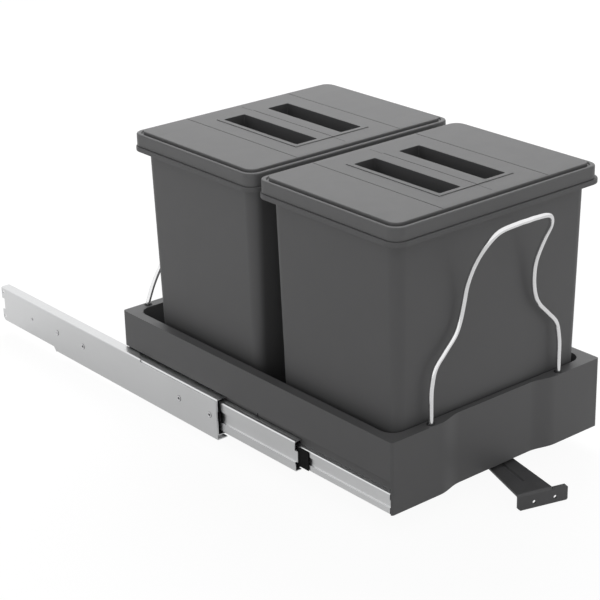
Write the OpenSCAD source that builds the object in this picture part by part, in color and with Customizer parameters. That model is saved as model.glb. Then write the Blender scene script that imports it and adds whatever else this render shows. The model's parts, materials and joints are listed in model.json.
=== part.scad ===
// Pull-out frame for two waste bins: a moulded tray on a pair of ball-bearing runners.
// X is the width, -Y is the way the tray is pulled out and +Z is up.
// The origin lies midway between the runners, at the front end of the fixed rails,
// at the height of the runners' centre line.

/* [Runners] */
// Distance between the outer faces of the two cabinet brackets
opening_w = 364; // [356:1:384]
// Length of each rail
rail_l = 500; // [450:1:560]
// How far the tray is drawn out of the cabinet
tray_out = 305.5; // [150:0.5:340]
// Sheet thickness of the rails
rail_t = 1.2; // [1:0.1:1.4]
// Height of the fixed rail
fixed_rail_h = 49; // [48:0.5:50]
// Depth of the fixed rail's channel
fixed_rail_d = 14; // [13.2:0.1:14.6]
// Diameter of the balls between fixed and middle rail
outer_ball_d = 4; // [3.8:0.1:4.2]
// Diameter of the balls between middle and drawer rail
inner_ball_d = 6; // [5.6:0.1:6.4]
// Depth of the grooves that the balls run in
groove_depth = 0.3; // [0.2:0.05:0.4]
// Running clearance around each ball
ball_clear = 0.05; // [0.03:0.01:0.08]
// Number of balls in each row of a cage
balls_per_row = 9; // [5:1:12]
// Air between two rails that pass each other, with a cage between them
rail_gap = 3.5; // [3.4:0.1:3.8]
// How far the bands of the middle rail stand out from its web
band_step = 2; // [1.6:0.1:2.2]
// Air between the middle rail's web and the drawer rail
web_gap = 2; // [1.9:0.1:2.3]
// Depth of the drawer rail
drawer_rail_d = 6.3; // [5.8:0.1:6.8]
// How far the drawer rail's web lies back from its bands
drawer_step = 2; // [1.6:0.1:2.4]
// Thickness of the plastic ball cages
cage_t = 1; // [0.8:0.1:1.1]
// Outer radius of the bends along the rails
rail_bend_r = 2; // [1.6:0.1:2.4]
// How much shorter the middle rail is at each end
middle_setback = 7.8; // [4:0.1:12]

/* [Cabinet brackets] */
// Sheet thickness of the brackets
bracket_t = 1.5; // [1.2:0.1:1.8]
// Length of the tabs behind the rail
tab_l = 6; // [5:0.5:10]
// Height of each tab
tab_h = 17; // [14:0.5:20]
// Width of the top flange
top_flange_w = 13.2; // [11:0.1:14]
// Length of the top flange
top_flange_l = 344; // [200:1:400]
// Width of the foot flange
foot_flange_w = 16; // [14:0.5:16.5]
// Length of the deep front part of a bracket
deep_part_l = 368; // [300:1:420]
// How far the deep front part reaches below the rail
deep_part_drop = 6.1; // [4:0.1:8]
// How far the front part stops short of the rail's top
top_setback = 1.8; // [0.5:0.1:2.5]
// Outer radius of the bends along the brackets
bracket_bend_r = 2; // [1.6:0.1:2.5]
// Radius of the cabinet screw holes
screw_hole_r = 2.5; // [2:0.1:3]
// Height of the upper tab hole above the centre line
upper_tab_hole_z = 19.5; // [17:0.5:20]
// Depth of the lower tab hole below the centre line
lower_tab_hole_z = 17.5; // [16:0.5:18]
// Distance from the rail's front end to the first rivet
first_rivet_y = 14; // [12:1:20]
// Distance between the two rivets of a pair
rivet_pitch = 64; // [50:1:80]
// Distance from the last rivet to the rail's rear end
last_rivet_back = 138; // [120:1:160]
// Distance from the long screw hole to the rail's rear end
back_hole_back = 74; // [60:1:90]
// Radius of a rivet's head
rivet_head_r = 4; // [3.5:0.1:4.5]
// Height of a rivet's head
rivet_head_h = 0.8; // [0.6:0.1:1]
// Radius of a rivet's shank
rivet_r = 2.6; // [2.3:0.1:2.9]
// Radius of the bore in a tubular rivet
rivet_bore_r = 1.8; // [1.2:0.1:1.9]

/* [Tray] */
// Distance from each cabinet bracket's outer face to the tray's side
tray_side_gap = 12; // [10:0.5:16]
// Length of the tray
tray_l = 520; // [515:1:560]
// Height of the tray
tray_h = 91; // [80:1:110]
// Height of the runners' centre line above the tray's underside
rail_rise = 14.2; // [13.5:0.1:16]
// Thickness of the tray's walls
tray_wall = 2.5; // [2:0.1:3]
// Width of the rim at the sides
side_rim_w = 13; // [12:0.5:15]
// Width of the rim at the front and the rear
end_rim_w = 14.5; // [13.5:0.5:17]
// Inner corner radius of the tray's basin
basin_r = 18; // [12:1:25]
// Outer corner radius of the tray
tray_corner_r = 3; // [2.8:0.1:5]
// Height of the floor's underside
floor_lift = 5.5; // [4.5:0.5:8]
// Air between the rails' top and the side skirt above them
skirt_gap = 3.3; // [2.6:0.1:5]
// Depth of the grip recess in the front
grip_depth = 7.2; // [4:0.1:7.4]
// Half width of the grip recess at its floor
grip_half_w = 58; // [40:1:70]
// Length of the curve at each end of the grip recess
grip_blend = 37; // [25:1:42]
// Height of the low ribs that hold the bins in place
seat_rib_h = 9; // [5:1:15]
// Air between a bin's foot and those ribs
seat_gap = 1.5; // [1:0.1:3]

/* [Wire hoops] */
// Diameter of the wire
wire_d = 6; // [4:0.1:7]
// Distance from the front hoop's middle to each leg
front_leg_x = 104.5; // [100:0.5:110]
// Distance from the rear hoop's middle to each foot
rear_leg_x = 134.5; // [128:0.5:140]
// Distance from the tray's face to a hoop's legs
leg_inset = 6.6; // [6:0.1:7.4]
// How far a hoop's foot goes down into the rim
foot_depth = 36; // [20:1:50]
// Thickness of a grommet's sleeve
grommet_wall = 1.1; // [0.8:0.1:1.3]
// How far a grommet's collar stands out over its sleeve
collar_out = 0.9; // [0.5:0.1:1.2]

/* [Bins] */
// Distance from the tray's side to a bin's rim
bin_side_gap = 5.6; // [4:0.1:12]
// How far the front bin's rim stands out over the tray's front
bins_overhang = 1.1; // [0:0.1:2]
// Distance from the rear bin's rim to the tray's rear
bins_rear_gap = 31.9; // [28:0.1:36]
// Air between the rims of the two bins
bin_gap = 6.8; // [5:0.1:12]
// Height of a bin from the floor to its flange's top
bin_h = 315.6; // [240:0.1:330]
// Thickness of a bin's wall
bin_wall = 2; // [1.5:0.1:3]
// How far the flange stands out from the bin's body
flange_out = 13.1; // [12:0.1:16]
// Thickness of the flange
flange_t = 6; // [4:0.5:8]
// Taper of each side of a bin, over its whole height
bin_taper = 7; // [5:0.1:14]
// Corner radius of a bin's flange
bin_r = 18.7; // [15:0.1:24]
// Corner radius of a bin's body at its mouth
bin_body_r = 15.7; // [10:0.1:18]
// Height of the lip above the flange
lip_h = 10; // [6:0.5:12]

/* [Lids] */
// How far the lid's skirt stands back from the flange at front and rear
skirt_back = 2; // [1.5:0.1:3.5]
// How far the lid's skirt stands back from the flange at the sides
skirt_side_back = 3.7; // [3:0.1:5.5]
// How far the loose lids lie to the left of the middle of their bins
lid_shift = 1.2; // [0:0.1:1.4]
// How far the loose lids lie behind the middle of their bins
lid_shift_back = 0.5; // [0:0.1:1]
// Height of the lid's skirt
lid_skirt_h = 15.8; // [14.5:0.1:18]
// Height of the raised panel above the skirt
panel_rise = 2.6; // [2:0.1:5]
// Width of the rim at the panel's front and rear
panel_inset = 7.7; // [5:0.1:9]
// Width of the rim at the panel's sides
panel_side_inset = 7.1; // [5:0.1:9]
// Width of the groove between rim and panel
panel_groove_w = 2.8; // [1.2:0.1:3]
// Thickness of the lid's wall
lid_wall = 2; // [1.6:0.1:2.2]
// Width of each finger pocket
pocket_w = 33; // [20:0.5:36]
// Length of each finger pocket
pocket_l = 143.5; // [80:0.5:160]
// Depth of each finger pocket
pocket_depth = 15; // [8:0.5:20]
// Width of the grip bar between the two pockets
grip_bar_w = 38; // [25:1:50]
// Width of the border round the pockets
pocket_border = 6.4; // [4:0.1:12]
// Height of that border
border_rise = 0.8; // [0.4:0.1:1.5]
// Distance from the lid's middle to each long line
line_x = 82.5; // [75:0.5:95]
// Width of the lines cut in the lid
line_w = 0.8; // [0.5:0.1:1.2]
// Distance from the ends of the lid's middle line to the panel's edge
middle_line_gap = 9; // [8:0.5:30]

/* [Door bracket] */
// Distance from the pivot to the face that the door lies on
arm_l = 136.5; // [110:0.5:160]
// Width of the arm at the pivot
arm_pivot_w = 31; // [26:0.5:36]
// Width of the arm at the door
arm_door_w = 46.4; // [36:0.2:50]
// Thickness of the bracket's steel
arm_t = 2.5; // [2:0.1:3]
// How far the arm lies below the tray
arm_drop = 5.2; // [4:0.1:7]
// Width of the door plate
door_plate_w = 66.7; // [56:0.1:80]
// Height of the door plate
door_plate_h = 20.5; // [18:0.5:30]
// Radius of the bend between arm and door plate
bend_r = 4; // [3.2:0.1:5]
// Distance between the two door screw holes
door_hole_pitch = 28; // [24:0.5:34]
// Radius of the door screw holes
door_hole_r = 2.25; // [2:0.05:2.6]
// Depth of the door screw holes below the top of the arm
door_hole_drop = 13.1; // [11:0.1:14]
// Distance from the door plate's free end to the nearest hole
door_hole_side = 16.6; // [12:0.1:20]
// Angle that the arm is turned from straight
arm_turn = 16; // [0:1:30]
// Pivot's distance from the middle of the tray
pivot_x = 35.5; // [20:0.5:60]
// Pivot's distance from the tray's front
pivot_y = 70; // [50:1:90]
// Radius of the pivot screw's shoulder
pivot_r = 3; // [2.5:0.1:3.5]
// Radius of the pivot boss and its washer
pivot_boss_r = 11; // [9:0.5:13]
// Thickness of the washer
washer_t = 1; // [0.8:0.1:1.5]

/* [Hidden] */

// Overshoot of a cut past the face that it opens
over = 1;
// Sides of a full circle on shapes that nothing turns in
smooth_fn = 32;

// Places across a runner, measured inwards from the bracket's outer face
fixed_s = bracket_t;
middle_s = fixed_s + rail_t + rail_gap;
middle_web_s = middle_s + band_step;
drawer_s = middle_web_s + rail_t + web_gap;
drawer_web_s = drawer_s + drawer_step;
pad_s = drawer_web_s + rail_t;
tray_s = drawer_s + drawer_rail_d;
// Half heights of the three rails
fixed_half_h = fixed_rail_h / 2;
outer_race = outer_ball_d - 2 * groove_depth;
middle_half_h = fixed_half_h - rail_t - outer_race;
inner_race = inner_ball_d - 2 * groove_depth;
drawer_half_h = middle_half_h - rail_t - inner_race;
// Centre lines of the ball rows
outer_ball_z = middle_half_h + outer_race / 2;
inner_ball_z = drawer_half_h + inner_race / 2;
fixed_end_s = fixed_s + fixed_rail_d;
middle_proud = 0.5;
middle_end_s = fixed_end_s + middle_proud;
outer_ball_s = (middle_s + fixed_end_s) / 2;
inner_ball_s = (drawer_s + middle_end_s) / 2;
// Half heights of the recessed webs, and what two parts of one piece share
middle_web_half_h = 8.5;
drawer_web_half_h = 6.2;
overlap = 0.01;

// Places of the rails and cages along the runner
drawer_front_y = -tray_out;
middle_l = rail_l - 2 * middle_setback;
middle_front_y = middle_setback - tray_out / 2;
middle_web_nose = 3;
full_travel = rail_l;
// What is left to pull out, and what the cages still run
to_open = full_travel - tray_out;
cage_end_room = 4;
outer_cage_nose = 3;
outer_nose_half_h = 6.5;
outer_cage_front_y = -outer_cage_nose;
outer_balls_front_y = to_open / 4 + cage_end_room + outer_ball_d / 2;
outer_balls_rear_y = rail_l / 2 - middle_setback + to_open / 4 - cage_end_room - outer_ball_d / 2;
inner_cage_nose = 20;
inner_nose_back = 0.9;
inner_nose_half_h = drawer_half_h - inner_nose_back;
inner_cage_front_y = middle_front_y - inner_cage_nose;
inner_balls_front_y = to_open * 3 / 4 - rail_l / 2 + middle_setback + cage_end_room
    + inner_ball_d / 2;
inner_balls_rear_y = to_open * 3 / 4 - cage_end_room - inner_ball_d / 2;

// Tray, measured from its own front, middle and underside
front_wall_gap = 0.5;
tray_front_y = -tray_out - tray_wall - front_wall_gap;
tray_base_z = -rail_rise;
tray_w = opening_w - 2 * tray_side_gap;
lower_half_w = opening_w / 2 - tray_s;
floor_t = tray_wall;
floor_top = floor_lift + floor_t;
basin_w = tray_w - 2 * side_rim_w;
basin_l = tray_l - 2 * end_rim_w;
skirt_z = rail_rise + fixed_half_h + skirt_gap;
grip_steps = 12;
pad_half_h = 8;
seam_y = 247.5;
seam_w = 1.6;
seam_depth = 1.2;
rib_t = 2;
rib_end_gap = 60;
rib_pitch = 80;
rib_side_gap = 67;
seat_rib_part = 0.6;
boss_floor = 4;
grommet_clear = 0.1;
grommet_r = wire_d / 2 + grommet_clear + grommet_wall;
collar_r = grommet_r + collar_out;
pivot_clear = 0.05;
// Air that keeps two pieces apart where one rests on the other
rest_gap = 0.1;

// Bins, measured from the tray's underside
bin_w = tray_w - 2 * bin_side_gap;
bin_d = (tray_l + bins_overhang - bins_rear_gap - bin_gap) / 2;
bin_pitch = bin_d + bin_gap;
front_bin_y = bin_d / 2 - bins_overhang;
bin_body_w = bin_w - 2 * flange_out;
bin_body_d = bin_d - 2 * flange_out;
foot_w = bin_body_w - 2 * bin_taper;
foot_d = bin_body_d - 2 * bin_taper;
foot_r = 11;
foot_round = 6;
seat_clear = 0.05;
bin_floor_z = floor_top + seat_clear;
flange_top_z = bin_floor_z + bin_h;
mouth_w = bin_body_w - 2 * bin_wall;
mouth_d = bin_body_d - 2 * bin_wall;
bin_ys = [front_bin_y, front_bin_y + bin_pitch];

// Lids, measured from the bin's flange
lid_w = bin_w - 2 * skirt_side_back;
lid_d = bin_d - 2 * skirt_back;
lid_corner_back = 3.7;
lid_r = bin_r - lid_corner_back;
panel_w = lid_w - 2 * panel_side_inset;
panel_d = lid_d - 2 * panel_inset;
panel_corner_back = 3.6;
panel_r = lid_r - panel_corner_back;
lid_top_z = lid_skirt_h + panel_rise;
border_w = grip_bar_w + 2 * pocket_w + 2 * pocket_border;
border_l = pocket_l + 2 * pocket_border;
line_depth = 0.5;
middle_line_l = panel_d - 2 * middle_line_gap;
pocket_r = 2;
lid_clear = 0.2;
tick_w = 7;
tick_depth = 0.8;

// Rivets and screws of one runner
rivet_ys = [first_rivet_y, first_rivet_y + rivet_pitch,
    rail_l - last_rivet_back - rivet_pitch, rail_l - last_rivet_back];
flare_back = 0.5;
screw_head_r = 3.6;
screw_head_h = 2;
screw_r = 1.75;
screw_clear = 0.05;
screw_bite = 8;
screw_neck = 0.5;
screw_ys = [170, 300, 440];

// Colours, as the photograph shows them
dark_plastic = [0.27, 0.27, 0.28];
lid_plastic = [0.42, 0.42, 0.43];
zinc = [0.72, 0.73, 0.74];
black_plastic = [0.05, 0.05, 0.05];
bright_wire = [0.85, 0.85, 0.86];
bracket_paint = [0.2, 0.2, 0.21];
ball_steel = [0.6, 0.6, 0.62];

// Outlines shared by many pieces

// A rectangle about the origin with round corners
module round_rect(w, d, r) {
    square([w - 2 * r, d], center = true);
    square([w, d - 2 * r], center = true);
    for (x = [-1, 1], y = [-1, 1])
        translate([x * (w / 2 - r), y * (d / 2 - r)]) circle(r = r, $fn = 48);
}

module slab(w, d, r, z0, z1) {
    translate([0, 0, z0]) linear_extrude(z1 - z0) round_rect(w, d, r);
}

// The same slab with few sides, for the hulls of the tapered bins
module hull_slab(w, d, r, z) {
    for (x = [-1, 1], y = [-1, 1])
        translate([x * (w / 2 - r), y * (d / 2 - r), z])
            cylinder(r = r, h = overlap, $fn = smooth_fn);
}

// Puts a shape drawn for the right-hand runner on the side that is named
module on_side(side) {
    mirror([side == "left" ? 1 : 0, 0, 0]) children();
}

// Runs a section, drawn as depth from the bracket's outer face against height, along Y
module along(y0, y1) {
    translate([opening_w / 2, y1, 0]) rotate([90, 0, 0])
        linear_extrude(y1 - y0) mirror([1, 0]) children();
}

// Lays a drill across a runner, from depth s0 to depth s1
module across(y, z, s0, s1, r) {
    translate([opening_w / 2 - s0, y, z]) rotate([0, -90, 0])
        cylinder(r = r, h = s1 - s0, $fn = 32);
}

module box_at(x0, x1, y0, y1, z0, z1) {
    translate([x0, y0, z0]) cube([x1 - x0, y1 - y0, z1 - z0]);
}

module section(s0, s1, z0, z1) {
    translate([s0, z0]) square([s1 - s0, z1 - z0]);
}

// Runners

module ball_grooves(s, z, d) {
    for (m = [-1, 1]) translate([s, m * z]) circle(r = d / 2 + ball_clear, $fn = 32);
}

// A section whose outer upper corner is round
module round_section(s0, s1, z0, z1, r) {
    section(s0 + r, s1, z0, z1);
    section(s0, s1, z0, z1 - r);
    translate([s0 + r, z1 - r]) circle(r = r, $fn = 32);
}

// Sheet steel bent over: down the outside from z1 to z0 and inwards from s0 to s1
module bent_sheet(s0, s1, z0, z1) {
    difference() {
        round_section(s0, s1, z0, z1, rail_bend_r);
        round_section(s0 + rail_t, s1 + over, z0 - over, z1 - rail_t, rail_bend_r - rail_t);
    }
}

module fixed_section() {
    difference() {
        for (m = [0, 1]) mirror([0, m])
            bent_sheet(fixed_s, fixed_end_s, -overlap, fixed_half_h);
        ball_grooves(outer_ball_s, outer_ball_z, outer_ball_d);
    }
}

// Web, ledge, band and flange of a rail whose middle is pressed in
module stepped_half(web_s, band_s, end_s, web_half, half) {
    section(web_s, web_s + rail_t, -overlap, web_half);
    section(min(band_s, web_s), max(band_s, web_s) + rail_t, web_half - rail_t, web_half);
    bent_sheet(band_s, end_s, web_half - rail_t, half);
}

module stepped_section(web_s, band_s, end_s, web_half, half) {
    for (m = [0, 1]) mirror([0, m]) stepped_half(web_s, band_s, end_s, web_half, half);
}

module middle_section() {
    difference() {
        stepped_section(middle_web_s, middle_s, middle_end_s, middle_web_half_h, middle_half_h);
        ball_grooves(outer_ball_s, outer_ball_z, outer_ball_d);
        ball_grooves(inner_ball_s, inner_ball_z, inner_ball_d);
    }
}

module drawer_section() {
    difference() {
        stepped_section(drawer_web_s, drawer_s, tray_s, drawer_web_half_h, drawer_half_h);
        ball_grooves(inner_ball_s, inner_ball_z, inner_ball_d);
    }
}

module fixed_rail(side) {
    color(zinc) on_side(side) difference() {
        along(0, rail_l) fixed_section();
        for (y = rivet_ys) across(y, 0, fixed_s - over, fixed_s + rail_t + over, rivet_r);
        across(rail_l - back_hole_back, 0, fixed_s - over, fixed_s + rail_t + over,
            screw_hole_r);
    }
}

module middle_rail(side) {
    color(zinc) on_side(side) {
        along(middle_front_y, middle_front_y + middle_l) middle_section();
        along(middle_front_y - middle_web_nose, middle_front_y)
            section(middle_web_s, middle_web_s + rail_t,
                rail_t - middle_web_half_h, middle_web_half_h - rail_t);
    }
}

module drawer_rail(side) {
    color(zinc) on_side(side) difference() {
        along(drawer_front_y, drawer_front_y + rail_l) drawer_section();
        for (y = screw_ys)
            across(tray_front_y + y, 0, drawer_web_s - over, pad_s + over,
                screw_r + screw_clear);
    }
}

// A cage is a strip with two arms, and each arm has a row of ball pockets
module cage(s, end_s, ball_s, ball_z, ball_d, arm_t_z, y0, y1, nose_half_h, arm_y,
    ball_y0, ball_y1) {
    difference() {
        union() {
            along(arm_y, y1) {
                section(s, s + cage_t, -ball_z - arm_t_z / 2, ball_z + arm_t_z / 2);
                for (m = [0, 1]) mirror([0, m])
                    section(s, end_s, ball_z - arm_t_z / 2, ball_z + arm_t_z / 2);
            }
            along(y0, y1) section(s, s + cage_t, -nose_half_h, nose_half_h);
        }
        for (i = [0 : balls_per_row - 1], m = [-1, 1])
            translate([opening_w / 2 - ball_s, ball_place(i, ball_y0, ball_y1),
                m * ball_z - arm_t_z])
                cylinder(r = ball_d / 2 + 2 * ball_clear, h = 2 * arm_t_z, $fn = 32);
    }
}

function ball_place(i, y0, y1) = y0 + (y1 - y0) * i / max(1, balls_per_row - 1);

module balls(s, z, d, y0, y1) {
    for (i = [0 : balls_per_row - 1], m = [-1, 1])
        translate([opening_w / 2 - s, ball_place(i, y0, y1), m * z]) sphere(d = d, $fn = 32);
}

// Air on each side of a cage's strip and arms
outer_cage_s = fixed_s + rail_t + (rail_gap - cage_t) / 2;
inner_cage_s = middle_web_s + rail_t + (web_gap - cage_t) / 2;
outer_arm_t = outer_race / 2;
inner_arm_t = inner_race / 2;
cage_back = 0.5;
arm_setback = 2;

module outer_cage(side) {
    color(black_plastic) on_side(side)
        cage(outer_cage_s, fixed_end_s - cage_back, outer_ball_s, outer_ball_z, outer_ball_d,
            outer_arm_t, outer_cage_front_y, outer_balls_rear_y + 2 * outer_ball_d,
            outer_nose_half_h, arm_setback, outer_balls_front_y, outer_balls_rear_y);
}

module outer_balls(side) {
    color(ball_steel) on_side(side)
        balls(outer_ball_s, outer_ball_z, outer_ball_d, outer_balls_front_y,
            outer_balls_rear_y);
}

module inner_cage(side) {
    color(black_plastic) on_side(side)
        cage(inner_cage_s, middle_end_s, inner_ball_s, inner_ball_z, inner_ball_d,
            inner_arm_t, inner_cage_front_y, inner_balls_rear_y + 2 * inner_ball_d,
            inner_nose_half_h, middle_front_y + arm_setback, inner_balls_front_y,
            inner_balls_rear_y);
}

module inner_balls(side) {
    color(ball_steel) on_side(side)
        balls(inner_ball_s, inner_ball_z, inner_ball_d, inner_balls_front_y,
            inner_balls_rear_y);
}

module rail_screws(side) {
    color(zinc) on_side(side) for (y = screw_ys) {
        across(tray_front_y + y, 0, drawer_web_s - screw_head_h, drawer_web_s, screw_head_r);
        across(tray_front_y + y, 0, drawer_web_s - screw_neck, pad_s + screw_bite, screw_r);
    }
}

// Cabinet brackets

rear_chamfer = 4;
top_flange_chamfer = 18;
foot_flange_chamfer = 12;
tab_hole_forward = 1.5;

// Outline of a bracket's plate, drawn as Y against Z
module bracket_outline() {
    rear = rail_l + tab_l;
    step = deep_part_drop;
    flange_start = rear - top_flange_l;
    flat_top = fixed_half_h + rest_gap + bracket_t;
    front_top = fixed_half_h - top_setback;
    difference() {
        polygon([[0, -fixed_half_h - deep_part_drop], [deep_part_l, -fixed_half_h - deep_part_drop],
            [deep_part_l + step, -fixed_half_h], [rear - rear_chamfer, -fixed_half_h],
            [rear, rear_chamfer - fixed_half_h], [rear, flat_top], [flange_start, flat_top],
            [flange_start, front_top], [0, front_top]]);
        translate([rail_l, tab_h - fixed_half_h])
            square([tab_l + over, flat_top + fixed_half_h - 2 * tab_h]);
    }
}

// What a bend along a bracket's outer edge takes off a sharp corner
module bend_cut(y0, y1, z) {
    along(y0, y1) difference() {
        section(-over, bracket_bend_r, z - bracket_bend_r, z + over);
        translate([bracket_bend_r, z - bracket_bend_r]) circle(r = bracket_bend_r, $fn = 32);
    }
}

module cabinet_bracket(side) {
    rear = rail_l + tab_l;
    flange_start = rear - top_flange_l;
    flange_z = fixed_half_h + rest_gap;
    foot_z = -fixed_half_h - deep_part_drop;
    color(zinc) on_side(side) difference() {
        union() {
            translate([opening_w / 2, 0, 0]) rotate([90, 0, -90]) mirror([1, 0, 0])
                linear_extrude(bracket_t) bracket_outline();
            translate([opening_w / 2, 0, flange_z]) linear_extrude(bracket_t)
                polygon([[0, flange_start], [0, rear], [-top_flange_w, rear],
                    [-top_flange_w, flange_start + top_flange_chamfer]]);
            translate([opening_w / 2, 0, foot_z]) linear_extrude(bracket_t)
                polygon([[0, 0], [0, deep_part_l],
                    [-foot_flange_w, deep_part_l - foot_flange_chamfer], [-foot_flange_w, 0]]);
        }
        bend_cut(flange_start - over, rear + over, flange_z + bracket_t);
        mirror([0, 0, 1]) bend_cut(-over, deep_part_l, -foot_z);
        for (y = rivet_ys) across(y, 0, -over, bracket_t + over, rivet_r);
        across(rail_l - back_hole_back, 0, -over, bracket_t + over, screw_hole_r);
        for (z = [upper_tab_hole_z, -lower_tab_hole_z])
            across(rail_l + tab_l / 2 - tab_hole_forward, z, -over, bracket_t + over,
                screw_hole_r);
    }
}

module rail_rivets(side) {
    inside = fixed_s + rail_t;
    flare_r = rivet_head_r - flare_back;
    color(zinc) on_side(side) for (y = rivet_ys) difference() {
        union() {
            across(y, 0, -rivet_head_h, 0, rivet_head_r);
            across(y, 0, -rivet_head_h / 2, inside + rivet_head_h / 2, rivet_r);
            across(y, 0, inside, inside + rivet_head_h, flare_r);
        }
        across(y, 0, -rivet_head_h - over, inside + rivet_head_h + over, rivet_bore_r);
    }
}

// Tray

// How far the front stands back at x, for the grip recess
function grip(x) = grip_depth * (abs(x) < grip_half_w ? 1
    : abs(x) > grip_half_w + grip_blend ? 0
    : (1 + cos(180 * (abs(x) - grip_half_w) / grip_blend)) / 2);

function arc(cx, cy, r, a0, a1, n = 6) =
    [for (i = [0 : n]) let (a = a0 + (a1 - a0) * i / n) [cx + r * cos(a), cy + r * sin(a)]];

grip_xs = concat([for (i = [0 : grip_steps]) -grip_half_w - grip_blend * (1 - i / grip_steps)],
    [for (i = [0 : grip_steps]) grip_half_w + grip_blend * i / grip_steps]);

// The tray seen from above, with every edge moved in by inset
function tray_outline(inset) = let (x = tray_w / 2 - tray_corner_r, y0 = tray_corner_r,
    y1 = tray_l - tray_corner_r, r = tray_corner_r - inset)
    concat(arc(-x, y0, r, 180, 270), [for (gx = grip_xs) [gx, inset + grip(gx)]],
        arc(x, y0, r, 270, 360), arc(x, y1, r, 0, 90), arc(-x, y1, r, 90, 180));

// Everything under the rim that is hollow, open from below
module tray_hollows() {
    end_x = lower_half_w - tray_wall;
    under = tray_h - tray_wall;
    intersection() {
        translate([0, 0, -over]) linear_extrude(under + over) polygon(tray_outline(tray_wall));
        difference() {
            union() {
                box_at(-end_x, end_x, 0, tray_l, -over, under);
                box_at(-tray_w / 2, tray_w / 2, 0, tray_l, skirt_z, under);
            }
            slab_y(basin_w + 2 * tray_wall, basin_l + 2 * tray_wall, basin_r + tray_wall,
                floor_lift, tray_h);
            lower_walls();
        }
    }
}

// A slab about the middle of the tray
module slab_y(w, d, r, z0, z1) {
    translate([0, tray_l / 2, 0]) slab(w, d, r, z0, z1);
}

// The side walls that the drawer rails are screwed to
module lower_walls() {
    for (m = [0, 1]) mirror([m, 0, 0])
        box_at(basin_w / 2, lower_half_w, 0, tray_l, -over, skirt_z);
    slab_y(basin_w + 2 * tray_wall, basin_l + 2 * tray_wall, basin_r + tray_wall,
        floor_lift, skirt_z);
}

function leg_places() = [[-front_leg_x, leg_inset], [front_leg_x, leg_inset],
    [-rear_leg_x, tray_l - leg_inset], [rear_leg_x, tray_l - leg_inset]];

// The recess beside each lower wall. The pad that the rail's web is screwed to stands in it.
module side_recess() {
    for (m = [0, 1]) mirror([m, 0, 0]) {
        difference() {
            box_at(lower_half_w, tray_w / 2 + over, tray_wall, tray_l + over, -over, skirt_z);
            box_at(lower_half_w - over, opening_w / 2 - pad_s, 0, rail_l, rail_rise - pad_half_h,
                rail_rise + pad_half_h);
        }
        box_at(lower_half_w - seam_depth, lower_half_w + over, seam_y - seam_w / 2,
            seam_y + seam_w / 2, rail_rise + pad_half_h, skirt_z);
    }
}

// Stiffening ribs under the floor
module floor_ribs() {
    outer_rib_x = basin_w / 2 - rib_side_gap;
    for (y = [rib_end_gap : rib_pitch : tray_l - rib_end_gap])
        box_at(-basin_w / 2, basin_w / 2, y, y + rib_t, 0, floor_lift + overlap);
    for (x = [-outer_rib_x, 0, outer_rib_x])
        box_at(x - rib_t / 2, x + rib_t / 2, end_rim_w, tray_l - end_rim_w, 0,
            floor_lift + overlap);
}

// Low ribs on the floor that keep a bin's foot in its place
module seat_ribs(y) {
    half_w = foot_w / 2 + seat_gap;
    half_d = foot_d / 2 + seat_gap;
    rib_half_w = half_w * seat_rib_part;
    rib_half_d = half_d * seat_rib_part;
    for (m = [0, 1]) {
        translate([0, y, 0]) mirror([m, 0, 0])
            box_at(half_w, half_w + rib_t, -rib_half_d, rib_half_d, floor_top - overlap,
                floor_top + seat_rib_h);
        translate([0, y, 0]) mirror([0, m, 0])
            box_at(-rib_half_w, rib_half_w, half_d, half_d + rib_t, floor_top - overlap,
                floor_top + seat_rib_h);
    }
}

module tray_in_place() {
    translate([0, tray_front_y, tray_base_z]) children();
}

module tray() {
    boss_r = grommet_r + tray_wall;
    color(dark_plastic) tray_in_place() difference() {
        union() {
            difference() {
                linear_extrude(tray_h) polygon(tray_outline(0));
                slab_y(basin_w, basin_l, basin_r, floor_top, tray_h + over);
                slab_y(basin_w, basin_l, basin_r, -over, floor_lift);
                tray_hollows();
            }
            floor_ribs();
            for (y = bin_ys) seat_ribs(y);
            intersection() {
                for (p = leg_places())
                    translate([p[0], p[1], tray_h - foot_depth - boss_floor])
                        cylinder(r = boss_r, h = foot_depth + boss_floor - rest_gap, $fn = 32);
                linear_extrude(tray_h) polygon(tray_outline(0));
            }
            translate([pivot_x, pivot_y, washer_t - arm_drop])
                cylinder(r = pivot_boss_r, h = floor_lift + arm_drop - washer_t + overlap,
                    $fn = 48);
        }
        side_recess();
        for (p = leg_places()) translate([p[0], p[1], tray_h - foot_depth])
            cylinder(r = grommet_r + grommet_clear, h = foot_depth + over, $fn = 32);
        translate([pivot_x, pivot_y, -arm_drop - over])
            cylinder(r = pivot_r + pivot_clear, h = floor_lift + arm_drop + over + floor_t / 2,
                $fn = 32);
        for (m = [-1, 1], y = screw_ys)
            translate([m * (opening_w / 2 - pad_s - screw_bite - over), y, rail_rise])
                rotate([0, m * 90, 0])
                    cylinder(r = screw_r + screw_clear, h = screw_bite + 2 * over, $fn = 32);
    }
}

// Wire hoops

// Half of a hoop from its foot to its top: distance from the middle, lean and height
// above the tray's rim
front_hoop_pts = [[104.5, 0, 29], [103.5, 0, 45], [98, 0, 66], [83.5, 0, 82],
    [67.5, 0, 98.5], [60, 0, 114.5], [56.2, 1.5, 135], [55, 5.5, 157.5], [54.5, 16.5, 184.5],
    [51.5, 30, 208.5], [39.2, 38, 224], [14, 42, 228.5], [0, 43, 229]];
rear_hoop_pts = [[134.5, 0, 3], [130, 0, 14], [124, 0, 27], [115, 0, 42],
    [101, 0, 61], [84, 0, 81], [69, 0, 99], [60.5, 0, 117], [57, 0, 137],
    [55, 0, 161], [50, 0, 184], [38, 0, 201], [20, 0, 208], [0, 0, 210]];
// Rings between two points of a hoop, and sides of the wire
hoop_rings = 3;
wire_sides = 10;
// Air under a hoop's foot, and how far its leg runs straight above the rim
foot_room = 0.5;
leg_above = 1;

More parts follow.
